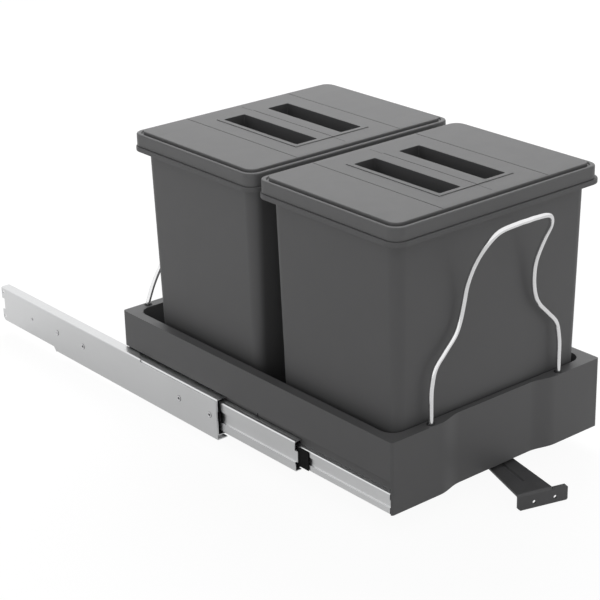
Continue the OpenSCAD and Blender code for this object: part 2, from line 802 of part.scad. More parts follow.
// A smooth curve through four neighbouring points
function curve(a, b, c, d, t) = 0.5 * ((2 * b) + (c - a) * t
    + (2 * a - 5 * b + 4 * c - d) * t * t + (3 * b - a - 3 * c + d) * t * t * t);

function smooth_line(p) = let (n = len(p)) concat(
    [for (i = [0 : n - 2], k = [0 : hoop_rings - 1])
        curve(p[max(0, i - 1)], p[i], p[i + 1], p[min(n - 1, i + 2)], k / hoop_rings)],
    [p[n - 1]]);

// The whole route: left foot, left half, right half and right foot. A lean of 1 tilts
// the top outwards over the front and -1 over the rear.
function hoop_route(half, leg_x, leg_y, lean) = let (n = len(half), k = leg_x / half[0][0],
    foot = tray_h - foot_depth + foot_room, knee = tray_h + leg_above,
    left = [for (q = half) [-k * q[0], leg_y - lean * q[1], tray_h + q[2]]],
    right = [for (i = [1 : n - 1]) let (q = half[n - 1 - i])
        [k * q[0], leg_y - lean * q[1], tray_h + q[2]]])
    concat([[-leg_x, leg_y, foot], [-leg_x, leg_y, knee]],
        smooth_line(concat(left, right)), [[leg_x, leg_y, knee], [leg_x, leg_y, foot]]);

function unit(v) = v / norm(v);

function tangent(p, i) = unit(p[min(len(p) - 1, i + 1)] - p[max(0, i - 1)]);

// A ring of points round the wire, square to its route
function ring(c, t, r) = let (u = unit(cross(t, [0, 1, 0])), v = cross(t, u))
    [for (k = [0 : wire_sides - 1]) let (a = 360 * k / wire_sides)
        c + r * (cos(a) * u + sin(a) * v)];

module wire(route) {
    n = len(route);
    m = wire_sides;
    pts = [for (i = [0 : n - 1]) each ring(route[i], tangent(route, i), wire_d / 2)];
    sides = [for (i = [0 : n - 2], k = [0 : m - 1]) let (a = i * m + k,
        b = i * m + (k + 1) % m) each [[a, b, b + m], [a, b + m, a + m]]];
    caps = [for (k = [1 : m - 2]) each [[0, k + 1, k],
        [(n - 1) * m, (n - 1) * m + k, (n - 1) * m + k + 1]]];
    polyhedron(points = pts, faces = concat(sides, caps), convexity = 6);
}

module front_hoop() {
    color(bright_wire) tray_in_place()
        wire(hoop_route(front_hoop_pts, front_leg_x, leg_inset, 1));
}

module rear_hoop() {
    color(bright_wire) tray_in_place()
        wire(hoop_route(rear_hoop_pts, rear_leg_x, tray_l - leg_inset, -1));
}

module hoop_grommets() {
    sleeve_l = 12;
    collar_h = 1.2;
    color(black_plastic) tray_in_place() for (p = leg_places())
        translate([p[0], p[1], tray_h]) difference() {
            union() {
                translate([0, 0, -sleeve_l])
                    cylinder(r = grommet_r, h = sleeve_l + overlap, $fn = 32);
                cylinder(r = collar_r, h = collar_h, $fn = 32);
            }
            translate([0, 0, -sleeve_l - over])
                cylinder(r = wire_d / 2 + grommet_clear, h = sleeve_l + collar_h + 2 * over,
                    $fn = 32);
        }
}

// Bins and lids

module bin_shape() {
    difference() {
        union() {
            hull() {
                hull_slab(foot_w - 2 * foot_round, foot_d - 2 * foot_round, foot_r, 0);
                hull_slab(foot_w, foot_d, foot_r, foot_round);
                hull_slab(bin_body_w, bin_body_d, bin_body_r, bin_h - flange_t);
            }
            slab(bin_w, bin_d, bin_r, bin_h - flange_t, bin_h);
            slab(mouth_w + 2 * bin_wall, mouth_d + 2 * bin_wall, bin_body_r,
                bin_h - flange_t - overlap, bin_h + lip_h);
        }
        hull() {
            hull_slab(foot_w - 2 * foot_round - bin_wall, foot_d - 2 * foot_round - bin_wall,
                foot_r - bin_wall, bin_wall);
            hull_slab(foot_w - 2 * bin_wall, foot_d - 2 * bin_wall, foot_r - bin_wall,
                foot_round + bin_wall);
            hull_slab(mouth_w, mouth_d, bin_body_r - bin_wall, bin_h - flange_t);
        }
        slab(mouth_w, mouth_d, bin_body_r - bin_wall, bin_h - flange_t - 2 * overlap,
            bin_h + lip_h + over);
        difference() {
            slab(bin_w - 2 * bin_wall, bin_d - 2 * bin_wall, bin_r - bin_wall,
                bin_h - flange_t - over, bin_h - bin_wall);
            slab(bin_body_w, bin_body_d, bin_body_r, bin_h - flange_t - 2 * over, bin_h);
        }
    }
}

module lid_pocket_places() {
    for (m = [-1, 1]) translate([m * (grip_bar_w + pocket_w) / 2, 0, 0]) children();
}

module middle_line(l, z) {
    box_at(-line_w / 4, line_w / 4, -l / 2, l / 2, z - line_depth, z + over);
}

module lid_shape() {
    pocket_floor_z = lid_top_z - pocket_depth - lid_wall;
    difference() {
        union() {
            difference() {
                union() {
                    slab(lid_w, lid_d, lid_r, 0, lid_skirt_h);
                    difference() {
                        slab(panel_w, panel_d, panel_r, 0, lid_top_z);
                        middle_line(middle_line_l, lid_top_z);
                    }
                    slab(border_w, border_l, pocket_r, 0, lid_top_z + border_rise);
                }
                middle_line(border_l, lid_top_z + border_rise);
                slab(lid_w - 2 * lid_wall, lid_d - 2 * lid_wall, lid_r - lid_wall, -over,
                    lid_skirt_h - 2 * lid_wall);
                slab(panel_w - 2 * lid_wall, panel_d - 2 * lid_wall, panel_r - lid_wall,
                    -over, lid_top_z - lid_wall);
            }
            lid_pocket_places()
                slab(pocket_w + 2 * lid_wall, pocket_l + 2 * lid_wall, pocket_r,
                    pocket_floor_z, lid_top_z);
        }
        lid_pocket_places()
            slab(pocket_w, pocket_l, pocket_r, lid_top_z - pocket_depth,
                lid_top_z + border_rise + over);
        difference() {
            slab(panel_w + 2 * panel_groove_w, panel_d + 2 * panel_groove_w,
                panel_r + panel_groove_w, lid_skirt_h - lid_wall, lid_skirt_h + over);
            slab(panel_w, panel_d, panel_r, 0, lid_skirt_h + 2 * over);
        }
        for (x = [-line_x, line_x])
            box_at(x - line_w / 2, x + line_w / 2, -panel_d / 2 - over, panel_d / 2 + over,
                lid_top_z - line_depth, lid_top_z + over);
        for (y = [-1, 1])
            box_at(-tick_w / 2, tick_w / 2, y * lid_d / 2 - tick_depth,
                y * lid_d / 2 + tick_depth, lid_skirt_h - tick_depth, lid_skirt_h + over);
    }
}

module bin_in_place(i, z) {
    tray_in_place() translate([0, bin_ys[i], z]) children();
}

module bin(i) {
    color(dark_plastic) bin_in_place(i, bin_floor_z) bin_shape();
}

module lid_in_place(i) {
    color(lid_plastic) bin_in_place(i, flange_top_z + lid_clear)
        translate([-lid_shift, lid_shift_back, 0]) lid_shape();
}

// Door bracket

// Bracket from the tray's view: the origin is the pivot, on top of the arm
module at_pivot(turn) {
    tray_in_place() translate([pivot_x, pivot_y, -arm_drop]) rotate([0, 0, -turn]) children();
}

module arm_outline(to_y) {
    half_pivot = arm_pivot_w / 2;
    half_door = arm_door_w / 2;
    circle(r = half_pivot, $fn = 48);
    polygon([[-half_pivot, 0], [-half_door, -to_y], [half_door, -to_y], [half_pivot, 0]]);
}

// The door plate seen from the door, with its corners cut
module door_plate_outline() {
    cut = 3.5;
    small_cut = 1.5;
    x0 = -arm_door_w / 2;
    x1 = x0 + door_plate_w;
    z0 = -door_plate_h;
    polygon([[x0, 0], [x0, z0 + cut], [x0 + cut, z0], [x1 - small_cut, z0],
        [x1, z0 + small_cut], [x1, -cut], [x1 - cut, 0]]);
}

module door_bracket() {
    bead_r = 3;
    bead_depth = 1.1;
    bead_start = 34;
    bead_l = 74;
    fold = [-arm_door_w / 2, arm_door_w / 2];
    first_hole_x = door_plate_w - arm_door_w / 2 - door_hole_side - door_hole_pitch;
    color(bracket_paint) at_pivot(arm_turn) difference() {
        union() {
            translate([0, 0, -arm_t]) linear_extrude(arm_t) arm_outline(arm_l - bend_r);
            translate([0, -arm_l + arm_t, 0]) rotate([90, 0, 0]) linear_extrude(arm_t)
                difference() {
                    door_plate_outline();
                    translate([fold[0] - over, -bend_r])
                        square([fold[1] - fold[0] + over, bend_r + over]);
                }
            // The bend, a quarter of a tube as wide as the arm
            intersection() {
                translate([fold[0], -arm_l + bend_r, -bend_r]) rotate([0, 90, 0])
                    difference() {
                        cylinder(r = bend_r, h = arm_door_w, $fn = 48);
                        translate([0, 0, -over])
                            cylinder(r = bend_r - arm_t, h = arm_door_w + 2 * over, $fn = 48);
                    }
                box_at(fold[0], fold[1], -arm_l, -arm_l + bend_r, -bend_r, 0);
            }
        }
        translate([0, 0, -arm_t - over])
            cylinder(r = pivot_r + pivot_clear, h = arm_t + 2 * over, $fn = 48);
        for (x = [first_hole_x, first_hole_x + door_hole_pitch])
            translate([x, -arm_l - over, -door_hole_drop]) rotate([-90, 0, 0])
                cylinder(r = door_hole_r, h = arm_t + 2 * over, $fn = 32);
        // A shallow bead pressed along the arm
        translate([0, -bead_start, bead_r - bead_depth]) rotate([90, 0, 0])
            cylinder(r = bead_r, h = bead_l, $fn = 32);
    }
}

module pivot_washer() {
    washer_clear = 0.2;
    color(zinc) at_pivot(0) difference() {
        translate([0, 0, rest_gap])
            cylinder(r = pivot_boss_r, h = washer_t - rest_gap, $fn = 48);
        translate([0, 0, -over])
            cylinder(r = pivot_r + washer_clear, h = washer_t + 2 * over, $fn = 32);
    }
}

module pivot_screw() {
    head_h = 3;
    tip_room = 0.5;
    shank_z = -arm_t - rest_gap - overlap;
    color(zinc) at_pivot(0) {
        translate([0, 0, -arm_t - rest_gap - head_h])
            cylinder(r = 2 * pivot_r, h = head_h, $fn = 48);
        translate([0, 0, shank_z])
            cylinder(r = pivot_r, h = arm_drop + floor_lift - tip_room - shank_z, $fn = 48);
    }
}

cabinet_bracket("left");  // left_cabinet_bracket
cabinet_bracket("right");  // right_cabinet_bracket
fixed_rail("left");  // left_fixed_rail
fixed_rail("right");  // right_fixed_rail
rail_rivets("left");  // left_rail_rivets
rail_rivets("right");  // right_rail_rivets
outer_cage("left");  // left_outer_cage
outer_cage("right");  // right_outer_cage
outer_balls("left");  // left_outer_balls
outer_balls("right");  // right_outer_balls
middle_rail("left");  // left_middle_rail
middle_rail("right");  // right_middle_rail
inner_cage("left");  // left_inner_cage
inner_cage("right");  // right_inner_cage
inner_balls("left");  // left_inner_balls
inner_balls("right");  // right_inner_balls
drawer_rail("left");  // left_drawer_rail
drawer_rail("right");  // right_drawer_rail
rail_screws("left");  // left_rail_screws
rail_screws("right");  // right_rail_screws
tray();
front_hoop();
rear_hoop();
hoop_grommets();
door_bracket();
pivot_washer();
pivot_screw();
bin(0);  // front_bin
bin(1);  // rear_bin
lid_in_place(0);  // front_lid
lid_in_place(1);  // rear_lid
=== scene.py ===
"""Looks of a pull-out frame for two waste bins.

A dark moulded tray runs on a pair of ball-bearing runners. Two lidded bins stand in it,
bright wire hoops rise at both ends, and a door bracket turns under its front.
All lengths are in metres, in the frame of the CAD part, apart from the outlines and
routes that say that they are in millimetres.
"""

import json
import logging
import math
from dataclasses import dataclass
from enum import Enum
from typing import Callable, Iterable, Sequence

import bmesh
import bpy
from mathutils import Matrix, Vector

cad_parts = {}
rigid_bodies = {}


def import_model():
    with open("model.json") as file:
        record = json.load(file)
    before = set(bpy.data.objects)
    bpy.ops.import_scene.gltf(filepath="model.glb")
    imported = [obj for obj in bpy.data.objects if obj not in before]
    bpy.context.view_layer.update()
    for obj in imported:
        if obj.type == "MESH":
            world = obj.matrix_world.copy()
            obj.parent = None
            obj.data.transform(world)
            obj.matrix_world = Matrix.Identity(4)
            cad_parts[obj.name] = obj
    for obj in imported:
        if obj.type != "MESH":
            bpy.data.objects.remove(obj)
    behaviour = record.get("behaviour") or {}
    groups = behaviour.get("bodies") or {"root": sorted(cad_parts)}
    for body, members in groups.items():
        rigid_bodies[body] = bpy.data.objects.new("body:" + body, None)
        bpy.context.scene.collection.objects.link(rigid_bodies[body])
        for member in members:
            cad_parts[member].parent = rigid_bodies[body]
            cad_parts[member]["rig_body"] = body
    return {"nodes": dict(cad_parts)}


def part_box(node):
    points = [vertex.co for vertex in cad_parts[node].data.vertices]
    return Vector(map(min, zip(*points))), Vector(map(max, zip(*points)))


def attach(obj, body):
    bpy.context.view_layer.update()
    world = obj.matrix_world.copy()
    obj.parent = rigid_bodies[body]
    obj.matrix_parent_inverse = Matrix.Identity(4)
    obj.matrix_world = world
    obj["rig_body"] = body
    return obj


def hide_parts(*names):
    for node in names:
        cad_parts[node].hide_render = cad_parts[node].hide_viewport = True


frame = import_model()
log = logging.getLogger("bin_frame")

Point = tuple[float, float, float]
Colour = tuple[float, float, float]
Span = tuple[float, float]
Profile = Sequence[tuple[float, float]]
Mesh = bmesh.types.BMesh
Edge = bmesh.types.BMEdge
Face = bmesh.types.BMFace
Material = bpy.types.Material
Socket = bpy.types.NodeSocket

MM = 0.001
# Points closer than this lie in one plane, and points closer than the weld are one point.
LEVEL = 1e-5
WELD = 1e-7
SHARP_DEG = 50.0
WHITE = (1.0, 1.0, 1.0, 1.0)


class Side(Enum):
    """The two runners, by the way that their brackets face."""

    LEFT = -1
    RIGHT = 1

    @property
    def word(self) -> str:
        """The side's name as the CAD nodes spell it."""
        return self.name.lower()


class BinPlace(Enum):
    """The two bins, by the place of their middle behind the tray's front."""

    FRONT = 0.1195
    REAR = 0.3675

    @property
    def word(self) -> str:
        """The place's name as the CAD nodes spell it."""
        return self.name.lower()


class Slot(Enum):
    """The record's material slots, by name. Nothing in this script uses them."""

    ZINC = "zinc_steel"
    BIN = "bin_plastic"
    LID = "lid_plastic"
    WIRE = "bright_wire"
    GROMMET = "grommet_rubber"
    PAINT = "black_paint"


@dataclass(frozen=True)
class Layout:
    """Where the tray lies in the frame, and what stands on it."""

    tray_front_y: float = -0.3085
    tray_base_z: float = -0.0142
    tray_height: float = 0.091
    tray_length: float = 0.520
    bin_floor: float = 0.00805
    floor_z: float = -0.0405

    def in_tray(self, x: float, y: float, z: float) -> Vector:
        """A point given from the tray's front, middle and underside.

        Args:
            x: Distance from the tray's middle.
            y: Distance behind the tray's front.
            z: Height above the tray's underside.

        Returns:
            The same point in the frame.
        """
        return Vector((x, y + self.tray_front_y, z + self.tray_base_z))


LAYOUT = Layout()


# Finishes


class Shader:
    """A short way to write the nodes of a material or of the world."""

    noise_span: Span = (0.3, 0.7)

    def __init__(self, owner: bpy.types.ID, output: str = "ShaderNodeOutputMaterial") -> None:
        """Empties the owner's nodes.

        Args:
            owner: A new material or world.
            output: The type of its output node.
        """
        owner.use_nodes = True
        self.owner = owner
        self.tree = owner.node_tree
        self.tree.nodes.clear()
        self.out = self.tree.nodes.new(output)

    def feed(self, socket: Socket, value: object) -> None:
        """Sets an input, or links it where the value is a socket.

        Args:
            socket: The input.
            value: A number, a colour or another node's output.
        """
        if isinstance(value, Socket):
            self.tree.links.new(value, socket)
        else:
            socket.default_value = value

    def add(self, kind: str, **inputs: object) -> bpy.types.Node:
        """Adds a node and feeds its inputs.

        Args:
            kind: The node's type.
            inputs: Input names, with spaces as underscores, against values or sockets.

        Returns:
            The new node.
        """
        node = self.tree.nodes.new(kind)
        for key, value in inputs.items():
            self.feed(node.inputs[key.replace("_", " ")], value)
        return node

    def finish(self, surface: Socket) -> bpy.types.ID:
        """Connects the surface and returns the material or world."""
        self.tree.links.new(surface, self.out.inputs["Surface"])
        return self.owner

    def work_out(self, operation: str, first: Socket, second: object) -> Socket:
        """Works out one value from two.

        Args:
            operation: The sum to do, as the Math node names it.
            first: The first value.
            second: The second value, a number or a socket.

        Returns:
            The result's socket.
        """
        node = self.add("ShaderNodeMath")
        node.operation = operation
        self.feed(node.inputs[0], first)
        self.feed(node.inputs[1], second)
        return node.outputs[0]

    def mix(self, share: Socket, first: Socket, second: Socket) -> Socket:
        """Mixes two surfaces.

        Args:
            share: How much of the second is taken.
            first: One surface.
            second: The other surface.

        Returns:
            The mixed surface's socket.
        """
        node = self.add("ShaderNodeMixShader")
        for socket, value in zip(node.inputs, (share, first, second)):
            self.feed(socket, value)
        return node.outputs[0]

    def noise(self, scale: float, detail: float, stretch: Point = (1.0, 1.0, 1.0)) -> Socket:
        """A noise value over the object.

        Args:
            scale: How fine it is.
            detail: How many finer layers it has.
            stretch: How much finer it is along each axis.

        Returns:
            The value's socket.
        """
        coords = self.add("ShaderNodeTexCoord").outputs["Object"]
        place = self.add("ShaderNodeMapping", Vector=coords, Scale=stretch).outputs["Vector"]
        return self.add("ShaderNodeTexNoise", Vector=place, Scale=scale, Detail=detail).outputs["Fac"]

    def between(self, value: Socket, low: float, high: float) -> Socket:
        """Spreads a noise value between two limits.

        Args:
            value: The noise.
            low: The result where the noise is low.
            high: The result where the noise is high.

        Returns:
            The spread value's socket.
        """
        weakest, strongest = self.noise_span
        node = self.add("ShaderNodeMapRange", Value=value, From_Min=weakest, From_Max=strongest,
                        To_Min=low, To_Max=high)
        return node.outputs["Result"]

    def tint(self, value: Socket, dark: Colour, light: Colour) -> Socket:
        """A colour that runs from dark to light with a value.

        Args:
            value: The value, from 0 to 1.
            dark: The colour at 0.
            light: The colour at 1.

        Returns:
            The colour's socket.
        """
        node = self.tree.nodes.new("ShaderNodeMix")
        node.data_type = "RGBA"
        self.feed(node.inputs["Factor"], value)
        ends = [socket for socket in node.inputs if socket.type == "RGBA"]
        for socket, colour in zip(ends, (dark, light)):
            self.feed(socket, (*colour, 1.0))
        return next(socket for socket in node.outputs if socket.type == "RGBA")

    def bump(self, height: Socket, strength: float, depth: float, under: Socket | None = None) -> Socket:
        """A normal that is ruffled by a height.

        Args:
            height: The height's socket.
            strength: How much of the relief shows.
            depth: How deep the relief is.
            under: Another normal that lies under it, if there is one.

        Returns:
            The normal's socket.
        """
        node = self.add("ShaderNodeBump", Height=height, Strength=strength, Distance=depth)
        if under is not None:
            self.feed(node.inputs["Normal"], under)
        return node.outputs["Normal"]


@dataclass(frozen=True)
class Relief:
    """A layer of fine relief on a surface."""

    scale: float
    detail: float
    strength: float
    depth: float

    def lay(self, s: Shader, under: Socket | None = None) -> Socket:
        """Lays it on the bare surface, or over another layer."""
        return s.bump(s.noise(self.scale, self.detail), self.strength, self.depth, under)


@dataclass(frozen=True, kw_only=True)
class Finish:
    """What every finish has: a clouded colour, and a gloss that differs from place to place.

    The shades are the factors of the darkest and the lightest cloud, and the unevenness is
    what the roughness loses and gains. Clouds and patches are a noise's scale and detail.
    """

    name: str
    colour: Colour
    roughness: float
    shades: Span
    uneven: Span

    def cover(self, s: Shader, cloud: Socket, patches: Socket, normal: Socket, **more: float) -> Material:
        """Puts colour, gloss and relief on one surface.

        Args:
            s: The material in the making.
            cloud: Noise that darkens and lightens the colour.
            patches: Noise that makes the gloss uneven.
            normal: The relief.
            more: Further inputs of the surface.

        Returns:
            The finished material.
        """
        dark, light = (tuple(min(1.0, c * factor) for c in self.colour) for factor in self.shades)
        smoothest, roughest = (self.roughness + change for change in self.uneven)
        colour = s.tint(s.between(cloud, 0.0, 1.0), dark, light)
        gloss = s.between(patches, smoothest, roughest)
        surface = s.add("ShaderNodeBsdfPrincipled", Base_Color=colour, Roughness=gloss, Normal=normal, **more)
        return s.finish(surface.outputs["BSDF"])


@dataclass(frozen=True, kw_only=True)
class MouldedPlastic(Finish):
    """Dark moulded plastic with a fine spark-eroded grain over slight sink waves."""

    roughness: float = 0.5
    shades: Span = (0.98, 1.02)
    uneven: Span = (-0.015, 0.015)
    cloud: Span = (6.0, 3.0)
    patches: Span = (45.0, 3.0)
    grain: Relief = Relief(1400.0, 2.0, 0.12, 0.00012)
    waves: Relief = Relief(9.0, 1.0, 0.05, 0.002)
    ior: float = 1.48

    def build(self) -> Material:
        """Makes the material."""
        s = Shader(bpy.data.materials.new(self.name))
        relief = self.waves.lay(s, self.grain.lay(s))
        return self.cover(s, s.noise(*self.cloud), s.noise(*self.patches), relief, IOR=self.ior)


@dataclass(frozen=True, kw_only=True)
class PlatedSheet(Finish):
    """Zinc-plated sheet steel, with the streaks of its rolling along the runners."""

    name: str = "zinc plated sheet"
    colour: Colour = (0.77, 0.775, 0.78)
    roughness: float = 0.34
    shades: Span = (0.985, 1.015)
    uneven: Span = (-0.03, 0.03)
    cloud: Span = (14.0, 3.0)
    streak_detail: float = 3.0
    streak_stretch: Point = (900.0, 7.0, 900.0)
    streak_strength: float = 0.03
    streak_depth: float = 0.00002
    waves: Relief = Relief(22.0, 1.0, 0.01, 0.0005)

    def build(self) -> Material:
        """Makes the material."""
        s = Shader(bpy.data.materials.new(self.name))
        streaks = s.noise(1.0, self.streak_detail, self.streak_stretch)
        rolled = s.bump(streaks, self.streak_strength, self.streak_depth)
        return self.cover(s, s.noise(*self.cloud), streaks, self.waves.lay(s, rolled), Metallic=1.0)


@dataclass(frozen=True, kw_only=True)
class BrightMetal(Finish):
    """Polished or plated metal, for the wire, the balls and small turned parts."""

    shades: Span = (0.96, 1.03)
    uneven: Span = (-0.03, 0.05)
    cloud: Span = (60.0, 3.0)
    patches: Span = (220.0, 2.0)
    ripple_strength: float = 0.03
    ripple_depth: float = 0.0004

    def build(self) -> Material:
        """Makes the material."""
        s = Shader(bpy.data.materials.new(self.name))
        cloud = s.noise(*self.cloud)
        ripple = s.bump(cloud, self.ripple_strength, self.ripple_depth)
        return self.cover(s, cloud, s.noise(*self.patches), ripple, Metallic=1.0)


@dataclass(frozen=True, kw_only=True)
class PowderCoat(Finish):
    """Dark powder coat with its fine orange-peel skin."""

    name: str = "powder coat"
    colour: Colour = (0.108, 0.108, 0.111)
    roughness: float = 0.42
    shades: Span = (0.9, 1.12)
    uneven: Span = (-0.06, 0.08)
    cloud: Span = (30.0, 2.0)
    peel: Span = (650.0, 3.0)
    peel_strength: float = 0.22
    peel_depth: float = 0.00018
    ior: float = 1.5

    def build(self) -> Material:
        """Makes the material."""
        s = Shader(bpy.data.materials.new(self.name))
        peel = s.noise(*self.peel)
        skin = s.bump(peel, self.peel_strength, self.peel_depth)
        return self.cover(s, s.noise(*self.cloud), peel, skin, IOR=self.ior)


@dataclass(frozen=True, kw_only=True)
class SoftBlack(Finish):
    """Black plastic or rubber of the cages and grommets."""

    shades: Span = (0.85, 1.2)
    uneven: Span = (-0.06, 0.06)
    sheen: float = 0.5
    cloud: Span = (40.0, 2.0)
    patches: Span = (260.0, 2.0)
    skin: Relief = Relief(900.0, 2.0, 0.1, 0.0001)

    def build(self) -> Material:
        """Makes the material."""
        s = Shader(bpy.data.materials.new(self.name))
        return self.cover(s, s.noise(*self.cloud), s.noise(*self.patches), self.skin.lay(s),
                          Specular_IOR_Level=self.sheen)


class Finishes:
    """Every finish of the part, made once."""

    def __init__(self) -> None:
        """Makes the materials."""
        self.plastic = MouldedPlastic(name="tray and bin plastic", colour=(0.135, 0.135, 0.137)).build()
        self.lid = MouldedPlastic(name="lid plastic", colour=(0.165, 0.165, 0.167), roughness=0.46,
                                  grain=Relief(1500.0, 2.0, 0.1, 0.00012)).build()
        # Painted shade: the pockets' insides take a darker plastic, with a coarser grain, that stands in for
        # the shade in them.
        self.pocket = MouldedPlastic(name="pocket plastic", colour=(0.088, 0.088, 0.09), roughness=0.62,
                                     grain=Relief(900.0, 2.0, 0.2, 0.00012)).build()
        self.zinc = PlatedSheet().build()
        self.wire = BrightMetal(name="bright wire", colour=(0.88, 0.88, 0.885), roughness=0.18).build()
        self.rivet = BrightMetal(name="turned zinc", colour=(0.86, 0.86, 0.87), roughness=0.26).build()
        # Painted shade: a dark zinc for the outer flank of each rivet head, standing in for the shade on it.
        self.worn = BrightMetal(name="pressed zinc", colour=(0.16, 0.16, 0.165), roughness=0.45).build()
        self.ball = BrightMetal(name="ball steel", colour=(0.75, 0.75, 0.77), roughness=0.08).build()
        self.cage = SoftBlack(name="cage plastic", colour=(0.005, 0.005, 0.0052), roughness=0.7,
                              sheen=0.15).build()
        self.grommet = SoftBlack(name="grommet rubber", colour=(0.02, 0.02, 0.021), roughness=0.6).build()
        self.paint = PowderCoat().build()


# Mesh work that the sub-assemblies share


def to_piece(name: str, bm: Mesh, material: Material, body: str,
             replaces: Sequence[str], inner: Material | None = None) -> bpy.types.Object:
    """Turns a bmesh into a finished piece that rides on a body.

    Args:
        name: The piece's name.
        bm: Its mesh, in the frame. It is freed here.
        material: Its finish.
        body: The CAD body that it rides on.
        replaces: CAD nodes that it stands for.
        inner: The finish of its marked faces, if it has any.

    Returns:
        The new object.
    """
    smooth_deg = 32.0
    mesh = bpy.data.meshes.new(name)
    bm.to_mesh(mesh)
    bm.free()
    mesh.polygons.foreach_set("use_smooth", [True] * len(mesh.polygons))
    mesh.set_sharp_from_angle(angle=math.radians(smooth_deg))
    mesh.materials.append(material)
    if inner is not None:
        mesh.materials.append(inner)
    obj = bpy.data.objects.new(name, mesh)
    bpy.context.scene.collection.objects.link(obj)
    obj.modifiers.new("even shading", "WEIGHTED_NORMAL").keep_sharp = True
    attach(obj, body)
    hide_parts(*replaces)
    log.info("%s: %d faces on %s", name, len(mesh.polygons), body)
    return obj


def dress_node(node: str, material: Material) -> None:
    """Gives a CAD node that stays in view its finish.

    Args:
        node: The node's name.
        material: Its finish.
    """
    mesh = frame["nodes"][node].data
    mesh.materials.clear()
    mesh.materials.append(material)
    log.info("%s: CAD node, dressed as %s", node, material.name)


def face_outwards(bm: Mesh) -> None:
    """Turns every face of a closed mesh outwards.

    Args:
        bm: The mesh.
    """
    bmesh.ops.recalc_face_normals(bm, faces=bm.faces)
    if bm.calc_volume(signed=True) < 0:
        bmesh.ops.reverse_faces(bm, faces=bm.faces)


def round_edges(bm: Mesh, edges: Iterable[Edge], radius: float, steps: int) -> None:
    """Rounds edges.

    Args:
        bm: The mesh.
        edges: Those of its edges that are rounded.
        radius: The rounding's radius. At zero the edges stay sharp.
        steps: How many faces it has across.
    """
    live = [e for e in edges if e.is_valid]
    if live and radius > 0:
        bmesh.ops.bevel(bm, geom=live, offset=radius, offset_type="OFFSET", segments=steps, profile=0.5,
                        affect="EDGES", clamp_overlap=True, material=-1)


def add_copy(target: Mesh, source: Mesh, matrix: Matrix) -> None:
    """Adds a moved copy of one mesh to another.

    Args:
        target: The mesh that takes the copy.
        source: The mesh that is copied.
        matrix: Where the copy goes.
    """
    mesh = bpy.data.meshes.new("copy")
    source.to_mesh(mesh)
    mesh.transform(matrix)
    target.from_mesh(mesh)
    bpy.data.meshes.remove(mesh)


def turned(profile: Profile, sides: int, closed: bool = True) -> Mesh:
    """A body of revolution about Z.

    Args:
        profile: Radius and height of each point in millimetres, in order.
        sides: Steps of a full turn.
        closed: Whether the last point joins the first.

    Returns:
        A new mesh with its faces outwards.
    """
    bm = bmesh.new()
    verts = [bm.verts.new((r * MM, 0.0, z * MM)) for r, z in profile]
    pairs = list(zip(verts, verts[1:])) + ([(verts[-1], verts[0])] if closed else [])
    edges = [bm.edges.new(pair) for pair in pairs]
    bmesh.ops.spin(bm, geom=verts + edges, cent=(0, 0, 0), axis=(0, 0, 1), angle=2 * math.pi,
                   steps=sides, use_merge=True)
    bmesh.ops.remove_doubles(bm, verts=bm.verts, dist=WELD)
    face_outwards(bm)
    return bm


def cross_recess(bm: Mesh, from_height: float, reach: float, depth: float) -> None:
    """Presses a cross recess into a screw head that faces up.

    Args:
        bm: The screw, a body of revolution about Z.
        from_height: The head's faces above this height may be pressed in.
        reach: How far each arm of the cross reaches from the middle.
        depth: How deep the recess is.
    """
    half_angle, wall_draft = 15.0, 0.00005
    cross = []
    for f in bm.faces:
        c = f.calc_center_median()
        quarter = math.degrees(math.atan2(c.y, c.x)) % 90.0
        if c.z > from_height and math.hypot(c.x, c.y) < reach and min(quarter, 90.0 - quarter) < half_angle:
            cross.append(f)
    bmesh.ops.inset_region(bm, faces=cross, thickness=wall_draft, depth=-depth, use_even_offset=True)


def merged_copy(node: str) -> Mesh:
    """A copy of a CAD node's mesh with its triangles joined into whole faces.

    Args:
        node: The node's name.

    Returns:
        A new mesh.
    """
    cad_weld, flat_deg = 2e-6, 0.2
    bm = bmesh.new()
    bm.from_mesh(frame["nodes"][node].data)
    bmesh.ops.remove_doubles(bm, verts=bm.verts, dist=cad_weld)
    bmesh.ops.dissolve_limit(bm, angle_limit=math.radians(flat_deg), use_dissolve_boundaries=False,
                             verts=bm.verts, edges=bm.edges, delimit=set())
    return bm


def sharp_edges(bm: Mesh, keep: Callable[[Vector, Vector], bool], least_deg: float = SHARP_DEG) -> list[Edge]:
    """Finds edges that turn sharply and pass a test.

    Args:
        bm: The mesh.
        keep: The test, on an edge's two ends.
        least_deg: The angle that the edge turns by at least.

    Returns:
        The edges.
    """
    least = math.radians(least_deg)
    folds = [e for e in bm.edges if len(e.link_faces) == 2 and e.calc_face_angle(0.0) > least]
    return [e for e in folds if keep(e.verts[0].co, e.verts[1].co)]


@dataclass(frozen=True)
class Ring:
    """A rounded rectangle, one of a stack that makes a moulded shell."""

    width: float
    depth: float
    corner: float
    height: float
    rounding: float = 0.0
    steps: int = 3

    def draw(self, bm: Mesh, corner_steps: int, level: float) -> list[bmesh.types.BMVert]:
        """Draws the ring's outline.

        Args:
            bm: The mesh that takes it.
            corner_steps: Steps of each round corner.
            level: Height that it is drawn at.

        Returns:
            The outline's vertices.
        """
        before = set(bm.verts)
        made = bmesh.ops.create_grid(bm, x_segments=1, y_segments=1, size=0.5)
        bmesh.ops.scale(bm, vec=(self.width, self.depth, 1.0), verts=made["verts"])
        bmesh.ops.translate(bm, vec=(0.0, 0.0, level), verts=made["verts"])
        bmesh.ops.bevel(bm, geom=made["verts"], offset=self.corner, offset_type="OFFSET",
                        segments=corner_steps, profile=0.5, affect="VERTICES", clamp_overlap=False,
                        material=-1)
        verts = [v for v in bm.verts if v not in before]
        faces = {f for v in verts for f in v.link_faces}
        bmesh.ops.delete(bm, geom=list(faces), context="FACES_ONLY")
        return verts


